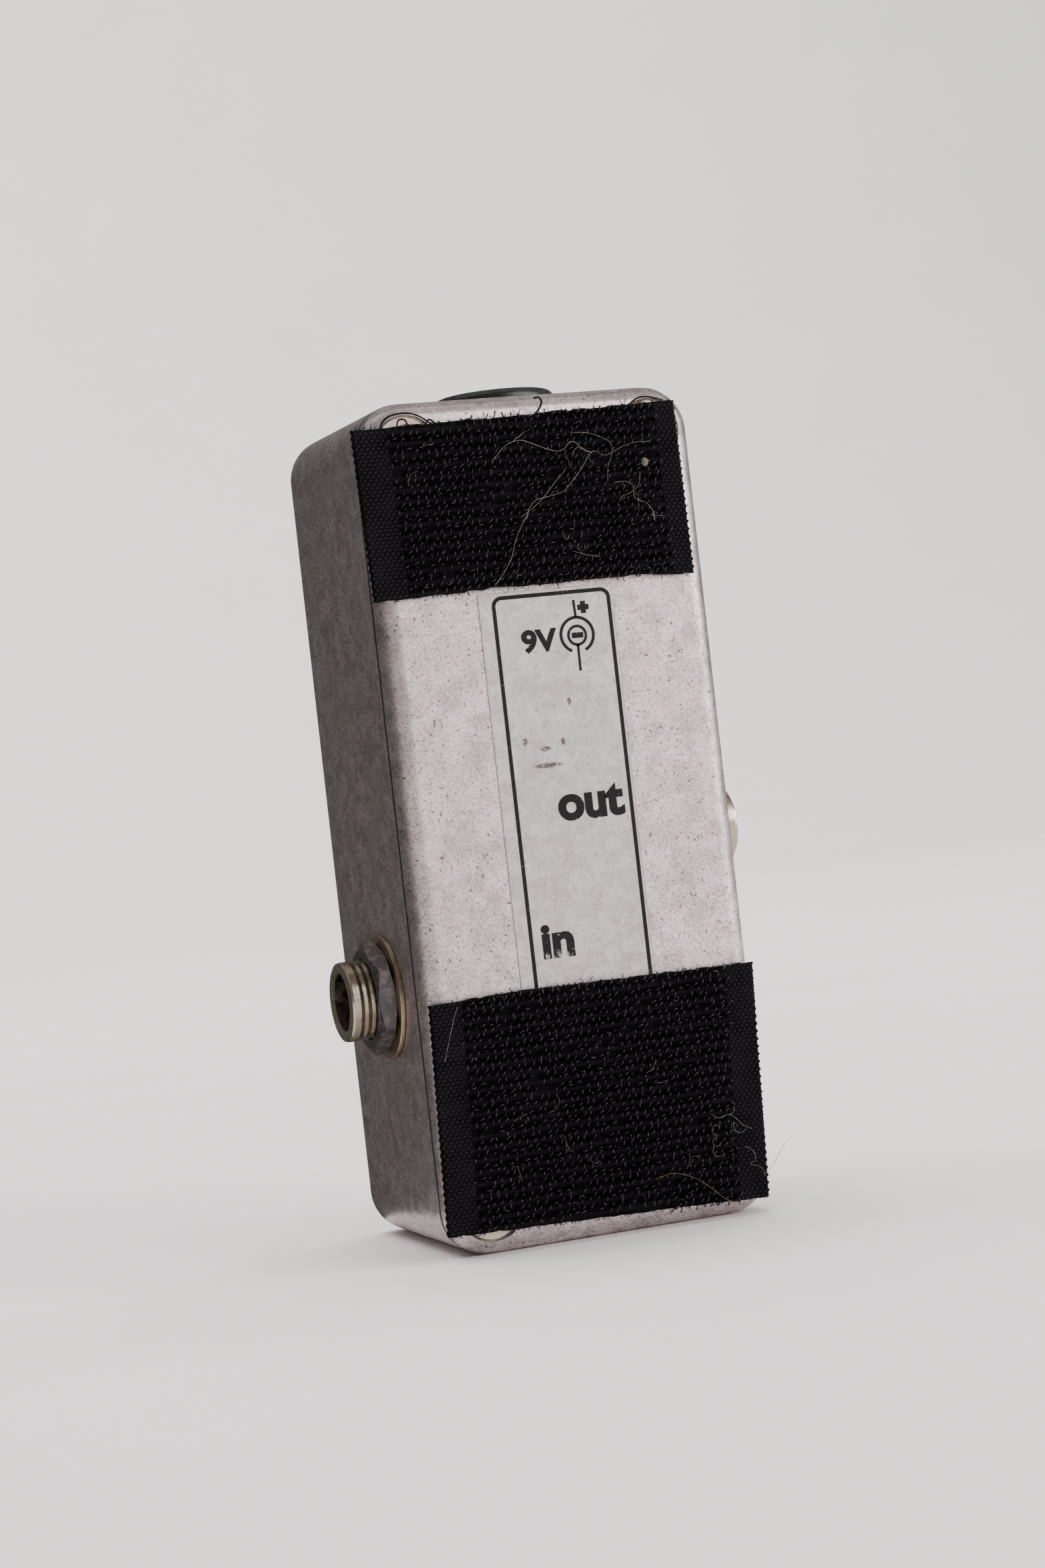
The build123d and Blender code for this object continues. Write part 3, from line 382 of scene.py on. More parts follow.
METALS = {                      # base, rubbed and dark colours, then what differs from the usual
    "nickel_brass": ((0.40, 0.36, 0.30), (0.46, 0.36, 0.215), (0.075, 0.06, 0.046),
                     dict(roughness=0.24, wear=0.62)),
    "screw_steel": ((0.56, 0.50, 0.42), (0.60, 0.49, 0.33), (0.16, 0.13, 0.10), dict(roughness=0.38)),
    "washer_brass": ((0.34, 0.29, 0.21), (0.46, 0.35, 0.19), (0.08, 0.06, 0.042),
                     dict(roughness=0.34, wear=0.7)),
    "zinc_nut": ((0.15, 0.142, 0.15), (0.36, 0.33, 0.31), (0.045, 0.041, 0.045),
                 dict(roughness=0.42, wear=0.6, grain=2.6, bump=0.4)),
    "spring_brass": ((0.72, 0.55, 0.28), (0.80, 0.66, 0.40), (0.30, 0.19, 0.08), dict(roughness=0.28)),
    "bright_plating": ((0.66, 0.65, 0.64), (0.74, 0.73, 0.72), (0.40, 0.38, 0.36),
                       dict(roughness=0.18, wear=0.3, grain=2.0, bump=0.05)),
    "tinned_leads": ((0.62, 0.61, 0.60), (0.74, 0.73, 0.72), (0.30, 0.29, 0.28), dict(roughness=0.34)),
}
WIRE = dict(roughness=0.4, grain=6.0, bump=0.12)
PLASTICS = {
    "black_plastic": ((0.008, 0.0078, 0.0085), dict(roughness=0.34, bump=0.18)),
    "nylon": ((0.74, 0.72, 0.65), dict(roughness=0.45)),
    "winding_tape": ((0.62, 0.40, 0.05),
                     dict(roughness=0.28, grain=2.0, bump=0.3, streak=(0.30, 0.16, 0.02))),
    "capacitor_sleeve": ((0.02, 0.03, 0.09), dict(roughness=0.28, grain=2.5, bump=0.15)),
    "film_capacitor_red": ((0.36, 0.05, 0.03), dict(roughness=0.3, grain=4.0, bump=0.15)),
    "diode_black": ((0.02, 0.02, 0.022), dict(roughness=0.3, grain=5.0, bump=0.12)),
    "wire_insulation": ((0.24, 0.02, 0.018), WIRE),
}
materials = {name: worn_metal(name, *colours, **look) for name, (*colours, look) in METALS.items()}
materials |= {name: moulded(name, base, **look) for name, (base, look) in PLASTICS.items()}
materials |= {
    "cast_aluminium": cast_metal(),
    "label_film": film(),
    "fibre_board": pressed_fibre(),
    "led_red": tinted_lens(),
    "board_green": board(),
    "core_steel": laminations(),
    "resistor_blue": banded_resistor(),
}
wire_materials = {
    "output_wires": moulded("wire_white", (0.68, 0.66, 0.62), **WIRE),
    "power_wires": moulded("wire_black", (0.016, 0.016, 0.018), **WIRE),
    "ground_lift_wires": moulded("wire_green", (0.03, 0.20, 0.06), **WIRE),
}
# The two hook tapes have no material here, because made pieces replace them.
for node, thing in frame["nodes"].items():
    material = wire_materials.get(node) or materials.get(record_slots[node])
    if material:
        thing.data.materials.clear()
        thing.data.materials.append(material)

# Each second colour is the painted highlight on the raised yarns of that weave.
weave_material = nylon_weave("hook_tape_weave", (0.0060, 0.0048, 0.0074))
selvedge_material = nylon_weave("hook_tape_selvedge", (0.0145, 0.0125, 0.0168))
hook_material = strand("hook_filament", (0.0012, 0.001, 0.0015), (0.012, 0.010, 0.014), 0.16, 0.55)
stray_material = strand("stray_filament", (0.0012, 0.001, 0.0014), (0.005, 0.004, 0.006), 0.4, 0.2)
lint_material = strand("pale_fibre", (0.15, 0.125, 0.10), (0.36, 0.31, 0.27), 0.5)
hair_material = strand("brown_hair", (0.05, 0.028, 0.016), (0.17, 0.10, 0.055), 0.4)
husk_material = moulded("husk", (0.10, 0.085, 0.068), 0.7, 6.0, 0.6, (0.05, 0.04, 0.03))
adhesive_material = moulded("tape_adhesive", (0.22, 0.185, 0.175), 0.5, 5.0, 0.3)
ink_material = ink()


# ===== Mesh helpers =====
def add_object(name, data):
    thing = bpy.data.objects.new(name, data)
    bpy.context.scene.collection.objects.link(thing)
    return thing


def weld(mesh):
    """Join coincident points, drop faces without area and turn every face outwards. Meshes are in metres."""
    edit = bmesh.new()
    edit.from_mesh(mesh)
    bmesh.ops.remove_doubles(edit, verts=edit.verts, dist=0.0002 * MM)
    bmesh.ops.dissolve_degenerate(edit, edges=edit.edges, dist=0.00001 * MM)
    bmesh.ops.recalc_face_normals(edit, faces=edit.faces)
    edit.to_mesh(mesh)
    edit.free()
    mesh.update()


def make_mesh(name, vertices_mm, faces, material, smooth=True):
    """A piece that rides on the case."""
    mesh = bpy.data.meshes.new(name)
    mesh.from_pydata((np.asarray(vertices_mm, float) * MM).tolist(), [], faces)
    mesh.validate()
    mesh.update()
    if smooth:
        mesh.shade_smooth()
    mesh.materials.append(material)
    thing = add_object(name, mesh)
    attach(thing, "case")
    return thing


def smooth_path(points, per_span=6):
    """Catmull-Rom points through a list of 3-D points."""
    p = np.asarray(points, float)
    p = np.vstack([2 * p[0] - p[1], p, 2 * p[-1] - p[-2]])
    out = []
    for i in range(1, len(p) - 2):
        a, b, c, d = p[i - 1:i + 3]
        for t in np.linspace(0, 1, per_span, endpoint=False):
            bend = (2 * a - 5 * b + 4 * c - d) * t**2
            out.append(0.5 * (2 * b + (c - a) * t + bend + (3 * b - a - 3 * c + d) * t**3))
    out.append(p[-2])
    return np.array(out)


def tube(points, radius, sides=6):
    """Closed tube round a path, as vertices and faces."""
    p = np.asarray(points, float)
    tangents = np.gradient(p, axis=0)
    tangents /= np.linalg.norm(tangents, axis=1)[:, None] + 1e-12
    seed = np.array([0.31, 0.17, 0.93])
    u = seed - tangents[0] * (seed @ tangents[0])
    vertices = []
    angles = np.arange(sides) * 2 * math.pi / sides
    for point, tangent in zip(p, tangents):
        u = u - tangent * (u @ tangent)
        u /= np.linalg.norm(u) + 1e-12
        w = np.cross(tangent, u)
        vertices.append(point + radius * (np.cos(angles)[:, None] * u + np.sin(angles)[:, None] * w))
    faces = []
    for i in range(len(p) - 1):
        for k in range(sides):
            a, b = i * sides + k, i * sides + (k + 1) % sides
            faces.append((a, b, b + sides, a + sides))
    last = (len(p) - 1) * sides
    faces.append(tuple(reversed(range(sides))))
    faces.append(tuple(last + k for k in range(sides)))
    return np.vstack(vertices), faces


class Bundle:
    """Many small tubes gathered into one mesh."""

    def __init__(self):
        self.vertices, self.faces, self.count = [], [], 0

    def add(self, points, radius, sides=6):
        vertices, faces = tube(points, radius, sides)
        self.vertices.append(vertices)
        self.faces += [tuple(i + self.count for i in face) for face in faces]
        self.count += len(vertices)

    def build(self, name, material):
        make_mesh(name, np.vstack(self.vertices), self.faces, material)


# ===== Printed label =====
INK_FACE = LID_Y - 0.08
INK_HEIGHT = 0.02


def ribbon(points, width, closed=False):
    """Flat printed line of even width along points on the label, given as (x, z)."""
    p = np.asarray(points, float)
    if closed:
        ahead, behind = np.roll(p, -1, 0), np.roll(p, 1, 0)
    else:
        ahead, behind = np.vstack([p[1:], p[-1]]), np.vstack([p[0], p[:-1]])
    tangent = ahead - behind
    tangent /= np.linalg.norm(tangent, axis=1)[:, None]
    normal = np.stack([-tangent[:, 1], tangent[:, 0]], 1) * width / 2
    ring = np.stack([p + normal, p - normal], 1)
    vertices, faces, count = [], [], len(p)
    for level in (INK_FACE, INK_FACE - INK_HEIGHT):
        for pair in ring:
            vertices += [(x, level, z) for x, z in pair]
    top = 2 * count
    for i in range(count if closed else count - 1):
        j = (i + 1) % count
        a, b, c, d = 2 * i, 2 * i + 1, 2 * j + 1, 2 * j
        faces += [(a, b, c, d), (top + d, top + c, top + b, top + a)]
        faces += [(a, d, top + d, top + a), (c, b, top + b, top + c)]
    if not closed:
        end = 2 * (count - 1)
        faces += [(1, 0, top, top + 1), (end, end + 1, top + end + 1, top + end)]
    return vertices, faces


def arc(centre, radius, start, stop, steps):
    angles = np.radians(np.linspace(start, stop, steps))
    return np.stack([centre[0] + radius * np.cos(angles), centre[1] + radius * np.sin(angles)], 1)


def prism(outline):
    """Printed patch with a straight-sided outline, given as (x, z) points."""
    n = len(outline)
    vertices = [(x, level, z) for level in (INK_FACE, INK_FACE - INK_HEIGHT) for x, z in outline]
    faces = [tuple(reversed(range(n))), tuple(range(n, 2 * n))]
    faces += [(i, (i + 1) % n, n + (i + 1) % n, n + i) for i in range(n)]
    return vertices, faces


def printed(name, *shapes):
    vertices, faces = [], []
    for shape_vertices, shape_faces in shapes:
        faces += [tuple(i + len(vertices) for i in face) for face in shape_faces]
        vertices += list(shape_vertices)
    weld(make_mesh(name, vertices, faces, ink_material, smooth=False).data)


BORDER_LEFT, BORDER_RIGHT, BORDER_TOP, BORDER_FOOT = -6.35, 7.07, 70.47, 24.3
BORDER_ROUND = 0.92
BORDER_LINE = 0.44
round_z = BORDER_TOP - BORDER_ROUND
printed("label_border", ribbon(np.vstack([
    [(BORDER_LEFT, z) for z in np.linspace(BORDER_FOOT, round_z, 24)],
    arc((BORDER_LEFT + BORDER_ROUND, round_z), BORDER_ROUND, 180, 90, 12)[1:],
    arc((BORDER_RIGHT - BORDER_ROUND, round_z), BORDER_ROUND, 90, 0, 12),
    [(BORDER_RIGHT, z) for z in np.linspace(round_z, BORDER_FOOT, 24)][1:],
]), BORDER_LINE))

# Polarity symbol: an open ring, a closed ring with a bar in it, a line above and below, and a plus sign.
PLUS_X, PLUS_Z = 3.97, 68.7
ARM, HALF = 0.675, 0.30
plus_outline = [
    (HALF, HALF), (HALF, ARM), (-HALF, ARM), (-HALF, HALF), (-ARM, HALF), (-ARM, -HALF),
    (-HALF, -HALF), (-HALF, -ARM), (HALF, -ARM), (HALF, -HALF), (ARM, -HALF), (ARM, HALF),
]
printed(
    "label_polarity",
    ribbon(arc((2.94, 65.75), 1.90, -65.5, 245.5, 90), 0.35),
    ribbon(arc((2.93, 65.67), 1.02, 0, 360, 61)[:-1], 0.32, closed=True),
    prism([(2.29, 65.38), (3.65, 65.38), (3.65, 66.0), (2.29, 66.0)]),
    ribbon([(2.92, 69.57), (2.99, 67.70)], 0.30),
    ribbon([(2.90, 64.72), (2.88, 61.78)], 0.30),
    prism([(PLUS_X + x, PLUS_Z + z) for x, z in plus_outline]),
)

LEGEND_WEIGHT = 0.042           # how much bolder than the plain typeface, as a share of its size


def legend(name, text, left, right, low, high):
    """Plain bold legend, stretched to a box on the label."""
    curve = bpy.data.curves.new(name + "_outline", "FONT")
    curve.body = text
    curve.size = 1.0
    curve.offset = LEGEND_WEIGHT
    curve.resolution_u = 6
    curve.extrude = 0.5
    curve.fill_mode = "BOTH"
    draft = add_object(name + "_draft", curve)
    bpy.context.view_layer.update()
    mesh = bpy.data.meshes.new_from_object(draft.evaluated_get(bpy.context.evaluated_depsgraph_get()))
    bpy.data.objects.remove(draft)
    co = np.array([v.co for v in mesh.vertices], float)
    low_corner, high_corner = co.min(0), co.max(0)
    unit = (co - low_corner) / (high_corner - low_corner)
    placed = np.stack([
        left + unit[:, 0] * (right - left),
        INK_FACE - unit[:, 2] * INK_HEIGHT,
        low + unit[:, 1] * (high - low),
    ], 1) * MM
    mesh.vertices.foreach_set("co", placed.astype(np.float32).ravel())
    weld(mesh)
    mesh.materials.clear()
    mesh.materials.append(ink_material)
    thing = add_object(name, mesh)
    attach(thing, "case")


legend("legend_voltage", "9V", -3.6, 0.58, 64.15, 66.76)
legend("legend_output", "out", -1.54, 6.28, 45.55, 49.25)
legend("legend_input", "in", -5.16, -1.4, 30.9, 34.65)


# ===== Hook tapes =====
CELL = 0.102                    # grid of the woven surface
ADHESIVE_FOOT = 0.102           # over the lid, just clear of the print
BACKING = 0.35                  # foot of the weave over the lid
WEAVE_FACE = 0.76               # where a hook leaves the weave
PLAIN_LOW, PLAIN_RELIEF = 0.78, 0.34    # the selvedge's valleys over the lid, and its yarns over them
RIBBED_LOW, RIB_RELIEF = 0.74, 0.36     # the same for the ribs
VALLEY_RIPPLE = 0.07
SWELL = 0.05                    # slow unevenness of the whole tape
RIB_PITCH, RIB_SHARE = 1.25, 0.60
YARN_PITCH = 0.40
SELVEDGE_X, SELVEDGE_Z = 0.62, 0.42
SELVEDGE_BLEND = 0.25
SELVEDGE_STITCH = 0.07          # how far the tape's long sides weave in and out
HOOK_PITCH = 0.95
HOOK_RADIUS = 0.078
HOOK_PROFILE = (                # (reach, height) from the hook's foot
    (0.0, 0.0), (0.03, 0.38), (0.10, 0.66), (0.26, 0.88), (0.46, 0.90), (0.58, 0.74), (0.56, 0.56),
)
HOOK_MARGIN = 0.25              # bare weave between the hooks and an edge or selvedge
CUT_KNOTS, CUT_JAG = 46, 0.10   # unevenness of the scissor cuts
EDGE_DROP = 0.22                # the weave rounds down this far, over this width, at its edges
FRAYED_ENDS = 60                # along each cut


def outline_at(points, u):
    """Height of a cut edge at share u of the width, from (share, z) points."""
    shares, heights = zip(*points)
    return np.interp(u, shares, heights)


def woven_height(x, z, from_selvedges):
    """Height of the weave above the lid: plain woven selvedges with ribs between them."""
    row = np.floor(z / SELVEDGE_Z)
    across_yarn = np.sin(math.pi * np.mod(x / SELVEDGE_X + 0.5 * np.mod(row, 2), 1.0)) ** 0.6
    along_yarn = np.sin(math.pi * np.mod(z / SELVEDGE_Z, 1.0)) ** 0.6
    plain = PLAIN_LOW + PLAIN_RELIEF * across_yarn * along_yarn
    turn = np.mod(z / RIB_PITCH, 1.0)
    rib = np.where(turn < RIB_SHARE, np.sin(math.pi * np.clip(turn / RIB_SHARE, 0, 1)), 0.0) ** 0.5
    yarn = np.abs(np.sin(math.pi * x / YARN_PITCH)) ** 0.7
    valley = np.abs(np.sin(math.pi * x / HOOK_PITCH))
    ribbed = RIBBED_LOW + RIB_RELIEF * rib * (0.50 + 0.50 * yarn) + VALLEY_RIPPLE * (1 - rib) * valley
    blend = np.clip(from_selvedges / SELVEDGE_BLEND, 0, 1)
    swell = SWELL * np.sin(0.55 * x + 0.4) * np.sin(0.42 * z + 1.1)
    return plain * (1 - blend) + ribbed * blend + swell


class HookTape:
    """One hand-cut piece: adhesive backing, woven base with real relief, hooks, and frayed cut ends.

    left and right are (x at the foot, x at the head), foot and head are (share of width, z) points, and
    selvedges holds the width of the plain woven strip at the left and at the right.
    """

    def __init__(self, name, left, right, foot, head, selvedges, seed):
        self.name, self.left, self.right, self.foot, self.head = name, left, right, foot, head
        self.left_selvedge, self.right_selvedge = selvedges
        self.width = right[0] - left[0]
        self.random = random.Random(seed)
        weave, rim = self.weave()
        self.adhesive(rim)
        pile = Bundle()
        self.hooks(pile)
        self.frayed_ends(pile)
        pile.build(name + "_hooks", hook_material)
        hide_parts(name)

    def weave(self):
        """Woven base with a flat underside. Gives back the piece and the rim of that underside."""
        left, right, width = self.left, self.right, self.width
        height = outline_at(self.head, 0.5) - outline_at(self.foot, 0.5)
        columns, rows = int(width / CELL), int(height / CELL)
        shares = np.linspace(0, 1, columns)
        u, v = np.meshgrid(shares, np.linspace(0, 1, rows))
        knots = [self.random.uniform(-CUT_JAG, CUT_JAG) for _ in range(CUT_KNOTS)]
        jag = np.interp(shares, np.linspace(0, 1, CUT_KNOTS), knots)
        bottom = outline_at(self.foot, u) + jag[None, :] * (1 - v)
        upper = outline_at(self.head, u) + np.flip(jag)[None, :] * v
        x = left[0] + (left[1] - left[0]) * v + u * (width + (right[1] - right[0] - left[1] + left[0]) * v)
        z = bottom + (upper - bottom) * v
        self.low_z, self.high_z = float(z.min()), float(z.max())
        stitch = SELVEDGE_STITCH * np.sin(2 * math.pi * z / (2 * SELVEDGE_Z))
        x = x + stitch * (np.clip(1 - u * columns / 3, 0, 1) - np.clip(1 - (1 - u) * columns / 3, 0, 1))
        from_left, from_right = u * width, (1 - u) * width
        from_selvedges = np.minimum(from_left - self.left_selvedge, from_right - self.right_selvedge)
        relief = woven_height(x, z, from_selvedges)
        from_edge = np.minimum(np.minimum(from_left, from_right), np.minimum(v, 1 - v) * height)
        relief = relief - EDGE_DROP * np.clip(1 - from_edge / EDGE_DROP, 0, 1) ** 2
        top = np.stack([x, LID_Y - relief, z], -1).reshape(-1, 3)

        index = np.arange(rows * columns).reshape(rows, columns)
        quads = np.stack([index[:-1, :-1], index[:-1, 1:], index[1:, 1:], index[1:, :-1]], -1).reshape(-1, 4)
        faces = [tuple(quad) for quad in quads.tolist()]
        around = np.concatenate([index[0, :-1], index[:-1, -1], index[-1, :0:-1], index[:0:-1, 0]]).tolist()
        rim = top[around].copy()
        rim[:, 1] = LID_Y - BACKING
        base, count = len(top), len(rim)
        for i in range(count):
            j = (i + 1) % count
            faces.append((around[j], around[i], base + i, base + j))
        faces += [(base + (i + 1) % count, base + i, base + count) for i in range(count)]
        vertices = np.vstack([top, rim, rim.mean(0)[None]])
        weave = make_mesh(self.name + "_weave", vertices, faces, weave_material)

        weave.data.materials.append(selvedge_material)
        in_selvedge = from_selvedges[:-1, :-1].ravel() < 0
        material_index = np.zeros(len(weave.data.polygons), np.int32)
        material_index[:len(in_selvedge)] = in_selvedge
        weave.data.polygons.foreach_set("material_index", material_index)
        return weave, rim

    def adhesive(self, rim):
        """Backing of hardened adhesive, a little smaller than the weave and reaching just into it."""
        x, _, z = rim.mean(0)
        inset = np.stack([x + (rim[:, 0] - x) * 0.992, z + (rim[:, 2] - z) * 0.988], 1)[::3]
        n = len(inset)
        under, over = LID_Y - ADHESIVE_FOOT, LID_Y - BACKING - 0.02
        plate = [(a, level, b) for level in (under, over) for a, b in inset]
        plate += [(x, under, z), (x, over, z)]
        faces = [((i + 1) % n, i, 2 * n) for i in range(n)]
        faces += [(n + i, n + (i + 1) % n, 2 * n + 1) for i in range(n)]
        faces += [(i, (i + 1) % n, n + (i + 1) % n, n + i) for i in range(n)]
        make_mesh(self.name + "_adhesive", plate, faces, adhesive_material, smooth=False)

    def hooks(self, pile):
        """Hooks stand in the valleys between ribs, in staggered pairs that lean opposite ways."""
        rng, left, right = self.random, self.left, self.right
        line = math.floor(self.low_z / RIB_PITCH)
        while line * RIB_PITCH < self.high_z:
            z = (line + (1 + RIB_SHARE) / 2) * RIB_PITCH
            share_z = (z - self.low_z) / (self.high_z - self.low_z)
            x_first = left[0] + (left[1] - left[0]) * share_z + self.left_selvedge + HOOK_MARGIN
            x_last = right[0] + (right[1] - right[0]) * share_z - self.right_selvedge - HOOK_MARGIN
            x = x_first + (line % 2) * HOOK_PITCH / 2
            while x < x_last:
                share = (x - x_first + self.left_selvedge) / self.width
                lowest, highest = outline_at(self.foot, share), outline_at(self.head, share)
                if lowest + HOOK_MARGIN < z < highest - HOOK_MARGIN and rng.random() < 0.95:
                    for way in (-1, 1):
                        pile.add(self.hook(x, z, way), HOOK_RADIUS, 5)
                x += HOOK_PITCH
            line += 1

    def hook(self, x, z, way):
        """Path of one hook, most often whole and else cut short."""
        rng = self.random
        turn = math.radians(rng.gauss(0, 24) + (62 if way > 0 else 242))
        tall = rng.uniform(0.92, 1.13)
        reach = rng.uniform(0.85, 1.35)
        cut = len(HOOK_PROFILE) - (rng.random() < 0.2) * rng.choice((1, 2, 3))
        x = x + way * 0.16 + rng.uniform(-0.06, 0.06)
        z = z + rng.uniform(-0.08, 0.08)
        return [
            (x + a * reach * math.cos(turn), LID_Y - WEAVE_FACE - h * tall, z + a * reach * math.sin(turn))
            for a, h in HOOK_PROFILE[:cut]
        ]

    def frayed_ends(self, pile):
        """Yarn ends and broken filaments along the two cut edges."""
        rng = self.random
        for edge, corner_x, out in ((self.foot, self.left[0], -1), (self.head, self.left[1], 1)):
            for _ in range(FRAYED_ENDS):
                share = rng.random()
                x = corner_x + share * self.width
                z = float(outline_at(edge, share))
                reach = rng.uniform(0.04, 0.22) if rng.random() < 0.88 else rng.uniform(0.3, 0.7)
                drift = rng.gauss(0, 0.25)
                height = rng.uniform(0.5, 0.95)
                curl = rng.uniform(-0.25, 0.35)
                path = smooth_path([
                    (x, LID_Y - height, z - out * 0.12),
                    (x + drift * 0.4, LID_Y - height - 0.5 * curl, z + out * reach * 0.55),
                    (x + drift, LID_Y - height - curl, z + out * reach),
                ], 3)
                pile.add(path, rng.choice((0.035, 0.05, 0.07)), 5)


HookTape(
    "hook_tape_upper", (-19.9, -20.4), (17.3, 17.1),
    [(0, 71.15), (0.37, 71.6), (0.83, 71.6), (1, 71.3)], [(0, 89.7), (1, 90.6)], (3.7, 2.5), 11,
)
HookTape(
    "hook_tape_lower", (-19.7, -18.9), (17.9, 19.0),
    [(0, 2.8), (1, 1.6)], [(0, 27.7), (0.29, 27.95), (1, 27.65)], (3.4, 3.5), 29,
)


# ===== Stray filaments, lint and hair caught in the tapes =====
def lifted(points, height, wander=0.08, seed=0):
    """(x, z) points carried over the lid at a slightly varying height."""
    rng = random.Random(seed)
    return smooth_path([(x, LID_Y - height + rng.uniform(-wander, wander), z) for x, z in points], 5)


# Broken filaments looped over the lid screws and the upper cut: (x, z) points, height and radius.
LONG_LOOPS = (
    (((-17.27, 89.55), (-16.9, 90.35), (-15.97, 90.95), (-14.24, 91.12), (-12.75, 90.7), (-11.4, 89.7)),
     1.2, 0.115),
    (((-15.5, 89.55), (-15.25, 90.36), (-14.55, 90.35), (-14.28, 89.7)), 1.6, 0.10),
    (((-12.25, 89.6), (-11.8, 90.25), (-11.1, 89.8)), 1.5, 0.10),
    (((11.5, 90.3), (12.64, 91.0), (13.91, 91.08), (15.6, 90.6)), 1.3, 0.11),
    (((0.5, 90.1), (1.0, 90.74), (1.22, 91.3), (0.93, 91.78), (0.36, 91.7)), 1.7, 0.12),
)
SHORT_LOOP_RADIUS = 0.07
LINT_HEIGHT, SHORT_LINT_HEIGHT, HAIR_HEIGHT = 1.87, 1.75, 1.9
stray = Bundle()
for points, height, radius in LONG_LOOPS:
    stray.add(lifted(points, height), radius)
for x in (8.8, 10.4, 12.0):
    points = [(x, 71.6), (x + 0.35, 72.4), (x + 1.1, 72.5), (x + 1.4, 71.8)]
    stray.add(lifted(points, 1.6), SHORT_LOOP_RADIUS)
for x, z in ((-1.4, 87.9), (1.6, 3.4), (-6.1, 3.7), (6.3, 2.1), (-12.0, 26.9)):
    points = [(x, z), (x + 0.3, z + 0.75), (x + 1.0, z + 0.8), (x + 1.3, z)]
    stray.add(lifted(points, 1.7), SHORT_LOOP_RADIUS)
stray.build("tape_stray_hooks", stray_material)

# Long pale fibres, given one by one as (x, z) points. Short ones are scattered at random after them.
PALE_LINT = (
    ((-5.27, 85.18), (-3.89, 86.5), (-2.94, 87.06), (-1.7, 87.24), (-0.51, 86.82), (0.82, 86.23),
     (2.19, 85.81), (3.08, 85.91), (3.88, 86.62), (4.58, 86.57), (5.37, 85.75), (6.32, 85.35)),
    ((-2.95, 86.99), (-2.2, 87.44), (-1.06, 88.19)),
    ((6.02, 85.2), (5.15, 83.93), (4.13, 82.84), (2.72, 81.45), (1.98, 81.17), (0.17, 80.81),
     (-0.91, 80.56), (-1.73, 79.63), (-2.02, 78.66)),
    ((2.98, 83.59), (1.79, 82.51), (0.58, 81.28), (-0.8, 80.06), (-2.7, 78.88)),
    ((-1.77, 79.3), (-2.81, 77.9), (-3.67, 76.31), (-4.25, 74.71), (-5.31, 73.15), (-6.52, 71.77)),
    ((11.75, 82.78), (11.48, 81.46), (10.49, 80.7), (9.36, 80.28), (8.93, 79.71)),
    ((8.48, 81.85), (9.92, 81.91), (10.75, 81.35), (10.77, 80.01), (11.96, 79.41), (12.75, 78.52),
     (12.9, 77.33)),
    ((4.36, 87.65), (5.95, 87.54), (7.66, 86.92), (8.64, 86.19), (8.68, 85.01), (8.06, 83.72),
     (7.79, 82.07)),
    ((15.17, 7.68), (16.15, 6.96), (16.24, 5.97), (15.57, 5.68), (16.77, 5.11), (17.28, 4.05)),
    ((11.65, 11.7), (12.43, 11.2), (13.72, 11.4), (14.69, 10.68), (15.25, 10.01), (16.25, 9.48)),
    ((-18.22, 21.63), (-17.61, 23.44), (-16.71, 25.96), (-16.16, 27.21)),
    ((2.81, 74.79), (4.34, 74.27), (5.91, 73.94)),
)
THICK_LINT = (0, 2, 4)
THICK_RADIUS, THIN_RADIUS = 0.023, 0.017
SHORT_LINT = 30
lint = Bundle()
for index, points in enumerate(PALE_LINT):
    radius = THICK_RADIUS if index in THICK_LINT else THIN_RADIUS
    lint.add(lifted(points, LINT_HEIGHT, seed=index), radius)
scatter = random.Random(5)
for _ in range(SHORT_LINT):
    upper = scatter.random() < 0.45
    x = scatter.gauss(13.6, 1.6) if scatter.random() < 0.5 else scatter.uniform(-15, 15)
    if upper:
        z = scatter.uniform(73, 88)
    else:
        z = scatter.gauss(10.0, 1.8) if x > 10 else scatter.uniform(4, 26)
    turn = scatter.uniform(0, 2 * math.pi)
    bend = scatter.uniform(-1.2, 1.2)
    step = scatter.uniform(0.25, 0.6)
    points = [(x, z)]
    for _ in range(4):
        turn += bend
        x, z = points[-1]
        points.append((x + step * math.cos(turn), z + step * math.sin(turn)))
    path = lifted(points, SHORT_LINT_HEIGHT, 0.15, seed=len(lint.vertices))
    lint.add(path, scatter.choice((0.010, 0.013, 0.017)), 5)
lint.build("tape_lint", lint_material)

# Brown hairs over the hooks: (x, z) points, wander, seed and radius. One more lies along the left side.
HAIRS = (
    (((4.21, 5.63), (6.34, 5.97), (8.74, 5.14), (10.67, 3.69), (12.18, 2.29), (13.77, 1.55)), 0.05, 3, 0.03),
    (((6.77, 85.48), (7.77, 84.91), (8.89, 85.27), (10.03, 85.76), (11.51, 86.09), (13.31, 86.1)),
     0.05, 4, 0.03),
    (((17.0, 4.3), (17.9, 4.8), (19.03, 6.14), (20.05, 7.44)), 0.03, 7, 0.028),
)
SIDE_HAIR = ((-19.36, -2.6, 19.7), (-19.50, -6.4, 18.5), (-19.55, -10.2, 18.2), (-19.45, -14.3, 19.2))
hair = Bundle()
for points, wander, seed, radius in HAIRS:
    hair.add(lifted(points, HAIR_HEIGHT, wander, seed), radius)
hair.add(smooth_path(SIDE_HAIR, 5), 0.028)
hair.build("tape_hair", hair_material)

HUSK_X, HUSK_Y, HUSK_Z = 12.5, LID_Y - 1.68, 83.9
HUSK_HALF_X, HUSK_HALF_Y, HUSK_HALF_Z = 0.40, 0.24, 0.50


